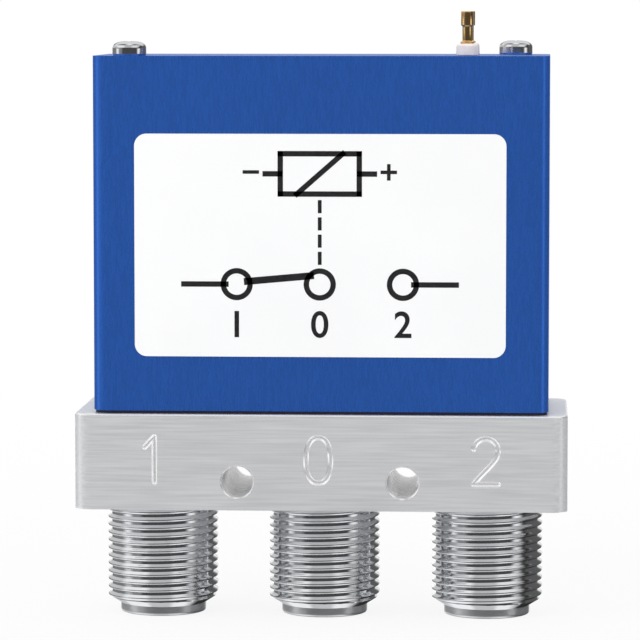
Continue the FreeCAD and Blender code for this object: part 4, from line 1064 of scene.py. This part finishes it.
class SWITCH_OT_cover_screws(bpy.types.Operator):
    """Build the two pan head screws with their cross recesses"""

    bl_idname = "switch.cover_screws"
    bl_label = "Cover screws"

    def execute(self, context):
        sizes, colours = context.scene.switch_sizes, context.scene.switch_colours
        bright = plated_metal("screw_plate", colours.nickel, 0.12, 0.2)
        low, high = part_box("left_cover_screw")
        head = high.z - low.z
        seat = head - sizes.screw_head
        radius = (high.x - low.x) / 2
        shoulder = seat + sizes.screw_side
        chamfer, crease = 0.2 * MM, 0.05 * MM
        profile = [(0, 0), (sizes.screw_shank, 0), (sizes.screw_shank, seat),
                   (radius * 0.95, seat), (radius, seat + chamfer),
                   (radius, seat + chamfer + crease), (radius, shoulder - crease)]
        steps = 18
        for step in range(steps + 1):
            angle = math.pi / 2 * step / steps
            out, up = math.cos(angle) ** 0.6, math.sin(angle) ** 0.95
            profile.append((radius * out, shoulder + (head - shoulder) * up))
        profile[-1] = (0, head)
        bm = bmesh.new()
        lathe(bm, profile, 72)
        screw = new_piece("screw", bm, bright)
        cut(screw, self.cross(head, sizes, bright))
        smooth(screw, crease=40)
        nodes = ["left_cover_screw", "right_cover_screw"]
        spots = [foot_of(node) for node in nodes]
        screws = stand_at("cover_screws", screw, spots, bright, most_turn=0.3)
        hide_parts(*nodes)
        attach(screws, HOUSING)
        return {"FINISHED"}

    def cross(self, top, sizes, material):
        """The tapered cross of a driver's tip."""
        span, arm, above = sizes.recess_span / 2, sizes.recess_width / 2, 0.5 * MM
        bm = bmesh.new()
        prism(bm, cross_outline(span, arm, arm, span), top - sizes.recess_depth, top + above,
              low_scale=0.45, high_scale=1.1)
        return new_piece("cross", bm, material)


class SWITCH_OT_terminals(bpy.types.Operator):
    """Build the gold solder terminals and their insulators"""

    bl_idname = "switch.terminals"
    bl_label = "Solder terminals"

    def execute(self, context):
        sizes, colours = context.scene.switch_sizes, context.scene.switch_colours
        gold = plated_metal("terminal_gold", colours.gold, 0.10, 0.18)
        ivory = moulded("insulator_ivory", colours.ivory, 0.45)
        self.stand(self.terminal(sizes, gold), "solder_terminals", "terminal", gold,
                   "terminal_gold")
        self.stand(self.insulator(sizes, ivory), "terminal_insulators", "terminal_insulator",
                   ivory, "insulator_ivory")
        return {"FINISHED"}

    def stand(self, piece, name, kind, material, slot):
        nodes = [f"front_{kind}", f"back_{kind}"]
        spots = [foot_of(node) for node in nodes]
        pair = stand_at(name, piece, spots, material, most_turn=1.0)
        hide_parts(*nodes)
        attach(pair, HOUSING)

    def terminal(self, sizes, gold):
        low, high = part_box("front_terminal")
        height = high.z - low.z
        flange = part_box("front_terminal_insulator")[1].z - low.z
        rim = (high.x - low.x) / 2
        neck_foot = flange + sizes.terminal_flange
        cap, cap_foot = rim * 0.92, height - sizes.terminal_cap
        outline = rounded([
            (0, 0), (sizes.terminal_stem, 0), (sizes.terminal_stem, flange), (rim, flange),
            (rim, neck_foot - 0.1 * MM), (sizes.terminal_neck, neck_foot),
            (sizes.terminal_neck, cap_foot), (cap, cap_foot + 0.12 * MM),
            (cap, height), (0, height),
        ], 0.14 * MM, 4)
        bm = bmesh.new()
        lathe(bm, outline, 64)
        return smooth(new_piece("terminal", bm, gold), crease=40)

    def insulator(self, sizes, ivory):
        low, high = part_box("front_terminal_insulator")
        height = high.z - low.z
        radius = (high.x - low.x) / 2
        seat = height - sizes.insulator_rise
        under_roof = seat - sizes.cover_wall
        stem = sizes.terminal_stem
        outline = rounded([
            (stem, 0), (sizes.insulator_neck, 0), (sizes.insulator_neck, under_roof),
            (sizes.insulator_neck, seat), (radius * 0.96, seat), (radius * 0.92, height),
            (stem, height),
        ], 0.45 * MM, 8)
        bm = bmesh.new()
        lathe(bm, outline, 72, closed=True)
        return smooth(new_piece("insulator", bm, ivory), crease=40)


# ---------------------------------------------------------------- relay parts

class SWITCH_OT_relay(bpy.types.Operator):
    """Finish the working parts inside the cover and the block"""

    bl_idname = "switch.relay"
    bl_label = "Relay parts"

    def execute(self, context):
        steel = rolled_metal("spring_steel", (0.55, 0.55, 0.56), 0.3, grains=(4000, 4000, 400))
        iron = rolled_metal("soft_iron", (0.42, 0.43, 0.44), 0.42)
        sheet = rolled_metal("plate_aluminium", (0.68, 0.69, 0.70), 0.35)
        reed = rolled_metal("reed_gold", (0.85, 0.62, 0.30), 0.25)
        magnet = moulded("magnet_ferrite", (0.06, 0.06, 0.065), 0.5, mottle_depth=0.01)
        nylon = moulded("bobbin_nylon", (0.78, 0.74, 0.62), 0.5)
        rod = moulded("rod_plastic", (0.80, 0.78, 0.70), 0.4)
        red = moulded("lead_insulation", (0.45, 0.03, 0.025), 0.45)
        copper = enamelled_wire_painted_shade("winding_copper", (0.72, 0.30, 0.14), 0.22 * MM)
        finishes = {
            steel: ("pivot_pin", "pivot_clips", "core_screws", "bracket_screws",
                    "cavity_cover_screws"),
            iron: ("armature", "left_core", "right_core", "yoke_plate", "middle_pole"),
            sheet: ("cavity_cover", "relay_bracket", "left_cover_post", "right_cover_post"),
            reed: ("left_reed", "right_reed"),
            magnet: ("bias_magnet",),
            nylon: ("left_bobbin", "right_bobbin"),
            rod: ("left_push_rod", "right_push_rod"),
            red: ("front_lead", "back_lead", "coil_link"),
            copper: ("left_winding", "right_winding"),
        }
        for material, nodes in finishes.items():
            for node in nodes:
                dress_node(node, material)
        for side in ("left", "right"):
            self.spring(f"{side}_return_spring", f"{side}_contact_slide", steel)
        return {"FINISHED"}

    def spring(self, node, slide, steel):
        """A steel copy of a return spring in place of the imported one."""
        mesh = frame["nodes"][node].data.copy()
        mesh.materials.clear()
        coil = link_piece(f"{node}_coil", mesh, steel)
        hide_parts(node)
        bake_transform(coil)


# ---------------------------------------------------------------- studio

# The main view. Half way between its line of sight and a mirrored direction is the way a mirror
# faces, so most panels of the studio are laid out by the way that polished walls face.
CAMERA_PLACE = Vector((0.0308, -0.5344, 0.0864))
CAMERA_AIM = Vector((0.00006, -0.0125, 0.04292))
CAMERA_LENS = 211.9
FRONT_SIGHT = (CAMERA_AIM - CAMERA_PLACE).normalized()
PANEL_GREY = 0.8
FAR = 999  # past every bearing and height, for a panel with no edge on that side


class SWITCH_OT_stage(bpy.types.Operator):
    """Set up the pale floor, the soft studio light and the camera"""

    bl_idname = "switch.stage"
    bl_label = "Studio"

    def execute(self, context):
        studio = context.scene.switch_studio
        context.scene.view_settings.view_transform = "Standard"
        self.floor()
        self.surroundings(context.scene, studio)
        self.lamp(context.scene, studio)
        self.camera(context.scene)
        return {"FINISHED"}

    def floor(self):
        bm = bmesh.new()
        prism(bm, rectangle(-4, -4, 4, 4), -0.01, 0)
        floor = new_piece("floor", bm, self.floor_finish())

    def floor_finish(self):
        """White to the eye with the object's soft shadow on it; metal mirrors the room instead."""
        material = bpy.data.materials.new("pale_floor")
        material.use_nodes = True
        graph = Graph(material.node_tree)
        graph.tree.nodes.clear()
        path = graph.add("ShaderNodeLightPath")
        matt = graph.add("ShaderNodeBsdfDiffuse", {"Color": (0.85, 0.85, 0.85, 1)})
        glow = graph.add("ShaderNodeEmission", {"Color": (1, 1, 1, 1), "Strength": 1.0})
        clear = graph.add("ShaderNodeBsdfTransparent")
        space = graph.add("ShaderNodeTexCoord").outputs["Object"]
        reach = graph.add("ShaderNodeVectorMath", {0: space}, operation="LENGTH").outputs["Value"]
        # The shadow is strongest within 5 cm of the middle and gone at 30 cm.
        fade = graph.ease(reach, 0.05, 0.30, 0.88, 1.0)
        to_eye = graph.times(path.outputs["Is Camera Ray"], fade)
        seen = graph.add("ShaderNodeMixShader", {
            0: to_eye, 1: matt.outputs["BSDF"], 2: glow.outputs["Emission"]})
        mirrored = graph.add("ShaderNodeMixShader", {
            0: path.outputs["Is Glossy Ray"], 1: seen.outputs["Shader"], 2: clear.outputs["BSDF"]})
        graph.add("ShaderNodeOutputMaterial", {"Surface": mirrored.outputs["Shader"]})
        return material

    def surroundings(self, scene, studio):
        """White to the eye, an even fill for matt surfaces, and a studio for metal to mirror."""
        world = bpy.data.worlds.new("studio")
        scene.world = world
        world.use_nodes = True
        graph = Graph(world.node_tree)
        graph.tree.nodes.clear()
        path = graph.add("ShaderNodeLightPath")
        seen = graph.math("MAXIMUM", path.outputs["Is Camera Ray"],
                          path.outputs["Is Transmission Ray"])
        white = self.background(graph, 1.0, 1.0)
        fill = self.background(graph, 1.0, studio.fill)
        mirrored = self.background(graph, PANEL_GREY, self.mirrored(graph, studio))
        matt = graph.add("ShaderNodeMixShader", {
            0: path.outputs["Is Glossy Ray"], 1: fill, 2: mirrored})
        both = graph.add("ShaderNodeMixShader", {0: seen, 1: matt.outputs["Shader"], 2: white})
        graph.add("ShaderNodeOutputWorld", {"Surface": both.outputs["Shader"]})

    def background(self, graph, grey, strength):
        return graph.add("ShaderNodeBackground", {
            "Color": (grey, grey, grey, 1), "Strength": strength}).outputs["Background"]

    def mirrored(self, graph, studio):
        """Brightness by direction: soft panels in a dark room."""
        direction = graph.add("ShaderNodeTexCoord").outputs["Generated"]
        x, y, z = graph.split(direction)
        bearing = graph.times(graph.math("ARCTAN2", x, graph.times(y, -1.0)), 180 / math.pi)
        facing = graph.split(graph.vector(
            "NORMALIZE", graph.vector("SUBTRACT", direction, FRONT_SIGHT)))
        # A frame: what is measured across, what is measured up, and how soft the edges are.
        wall = (facing["X"], facing["Z"], 0.06, 0.015)
        room = (graph.math("ABSOLUTE", bearing), z, 10, 0.03)
        # A panel: its frame, from and to across, from and to up, and its level.
        panels = (
            (wall, (-0.95, 0.56), (-0.70, -0.19), 0.80),
            (wall, (-0.60, -0.20), (-0.70, -0.19), 0.55),
            (wall, (0.20, 0.47), (-0.70, -0.19), 0.50),
            (wall, (-0.95, 0.60), (0.17, 0.64), 0.70),
            (wall, (-0.62, -0.20), (0.17, 0.56), 0.55),
            (wall, (0.20, 0.52), (0.17, 0.56), 0.40),
            (wall, (-0.95, -0.66), (-0.19, 0.17), 0.15),
            (wall, (-0.68, -0.36), (-0.19, 0.17), 0.30),
            (wall, (-0.40, 0.60), (-0.18, 0.12), 0.05),
            (wall, (0.54, 0.68), (-0.04, 0.06), 1.6),
            (wall, (-0.70, -0.56), (-0.04, 0.06), 1.4),
            (room, (-FAR, FAR), (0.98, FAR), 1.6),
            (room, (120, FAR), (0.45, 0.98), 1.0),
            (room, (160, FAR), (-0.20, 0.04), 1.1),
            (room, (160, FAR), (0.04, 0.45), 0.72),
            (room, (95, FAR), (-0.34, 0.45), 0.1),
        )
        brightness = studio.dark
        for panel in panels:
            brightness = graph.plus(brightness, self.panel(graph, *panel))
        return brightness

    def panel(self, graph, frame, sides, heights, brightness):
        """A bright panel with soft edges between two sides and two heights of a frame."""
        across, up, soft, fine = frame
        return graph.times(
            graph.ease(across, sides[0] - soft, sides[0] + soft),
            graph.ease(across, sides[1] + soft, sides[1] - soft),
            graph.times(graph.ease(up, heights[0] - fine, heights[0] + fine),
                        graph.ease(up, heights[1] + fine, heights[1] - fine)),
            brightness,
        )

    def lamp(self, scene, studio):
        """A soft lamp at the upper left that metal doesn't mirror."""
        light = bpy.data.lights.new("key_lamp", "AREA")
        light.energy = studio.key
        light.size = 0.5
        lamp = bpy.data.objects.new("key_lamp", light)
        lamp.location = (-0.45, -0.55, 0.75)
        middle = Vector((0, 0, 0.04))
        lamp.rotation_euler = (middle - lamp.location).to_track_quat("-Z", "Y").to_euler()
        lamp.visible_camera = False
        lamp.visible_glossy = False
        scene.collection.objects.link(lamp)

    def camera(self, scene):
        camera = bpy.data.objects.new("camera", bpy.data.cameras.new("camera"))
        camera.data.sensor_width = 36
        camera.data.lens = CAMERA_LENS
        camera.data.clip_start = 0.01
        camera.location = CAMERA_PLACE
        camera.rotation_euler = FRONT_SIGHT.to_track_quat("-Z", "Y").to_euler()
        scene.collection.objects.link(camera)
        scene.camera = camera


# ---------------------------------------------------------------- add-on

class SWITCH_PT_panel(bpy.types.Panel):
    """Lists the pieces of the switch and their settings"""

    bl_idname = "SWITCH_PT_panel"
    bl_label = "Coaxial antenna switch"
    bl_space_type = "VIEW_3D"
    bl_region_type = "UI"
    bl_category = "Switch"

    def draw(self, context):
        layout = self.layout
        for operator in OPERATORS:
            layout.operator(operator.bl_idname)
        for group in (context.scene.switch_sizes, context.scene.switch_colours,
                      context.scene.switch_studio):
            column = layout.column(align=True)
            for name in group.bl_rna.properties.keys():
                if name not in {"rna_type", "name"}:
                    column.prop(group, name)


OPERATORS = (
    SWITCH_OT_stage, SWITCH_OT_base_block, SWITCH_OT_cover, SWITCH_OT_label, SWITCH_OT_jacks,
    SWITCH_OT_cover_screws, SWITCH_OT_terminals, SWITCH_OT_relay,
)
CLASSES = (SwitchSizes, SwitchColours, StudioLevels, *OPERATORS, SWITCH_PT_panel)


def register():
    for kind in CLASSES:
        bpy.utils.register_class(kind)
    bpy.types.Scene.switch_sizes = PointerProperty(type=SwitchSizes)
    bpy.types.Scene.switch_colours = PointerProperty(type=SwitchColours)
    bpy.types.Scene.switch_studio = PointerProperty(type=StudioLevels)


def unregister():
    del bpy.types.Scene.switch_studio
    del bpy.types.Scene.switch_colours
    del bpy.types.Scene.switch_sizes
    for kind in reversed(CLASSES):
        bpy.utils.unregister_class(kind)


def main():
    register()
    bpy.ops.switch.stage()
    bpy.ops.switch.base_block()
    bpy.ops.switch.cover()
    bpy.ops.switch.label()
    bpy.ops.switch.jacks()
    bpy.ops.switch.cover_screws()
    bpy.ops.switch.terminals()
    bpy.ops.switch.relay()


if __name__ == "__main__":
    main()
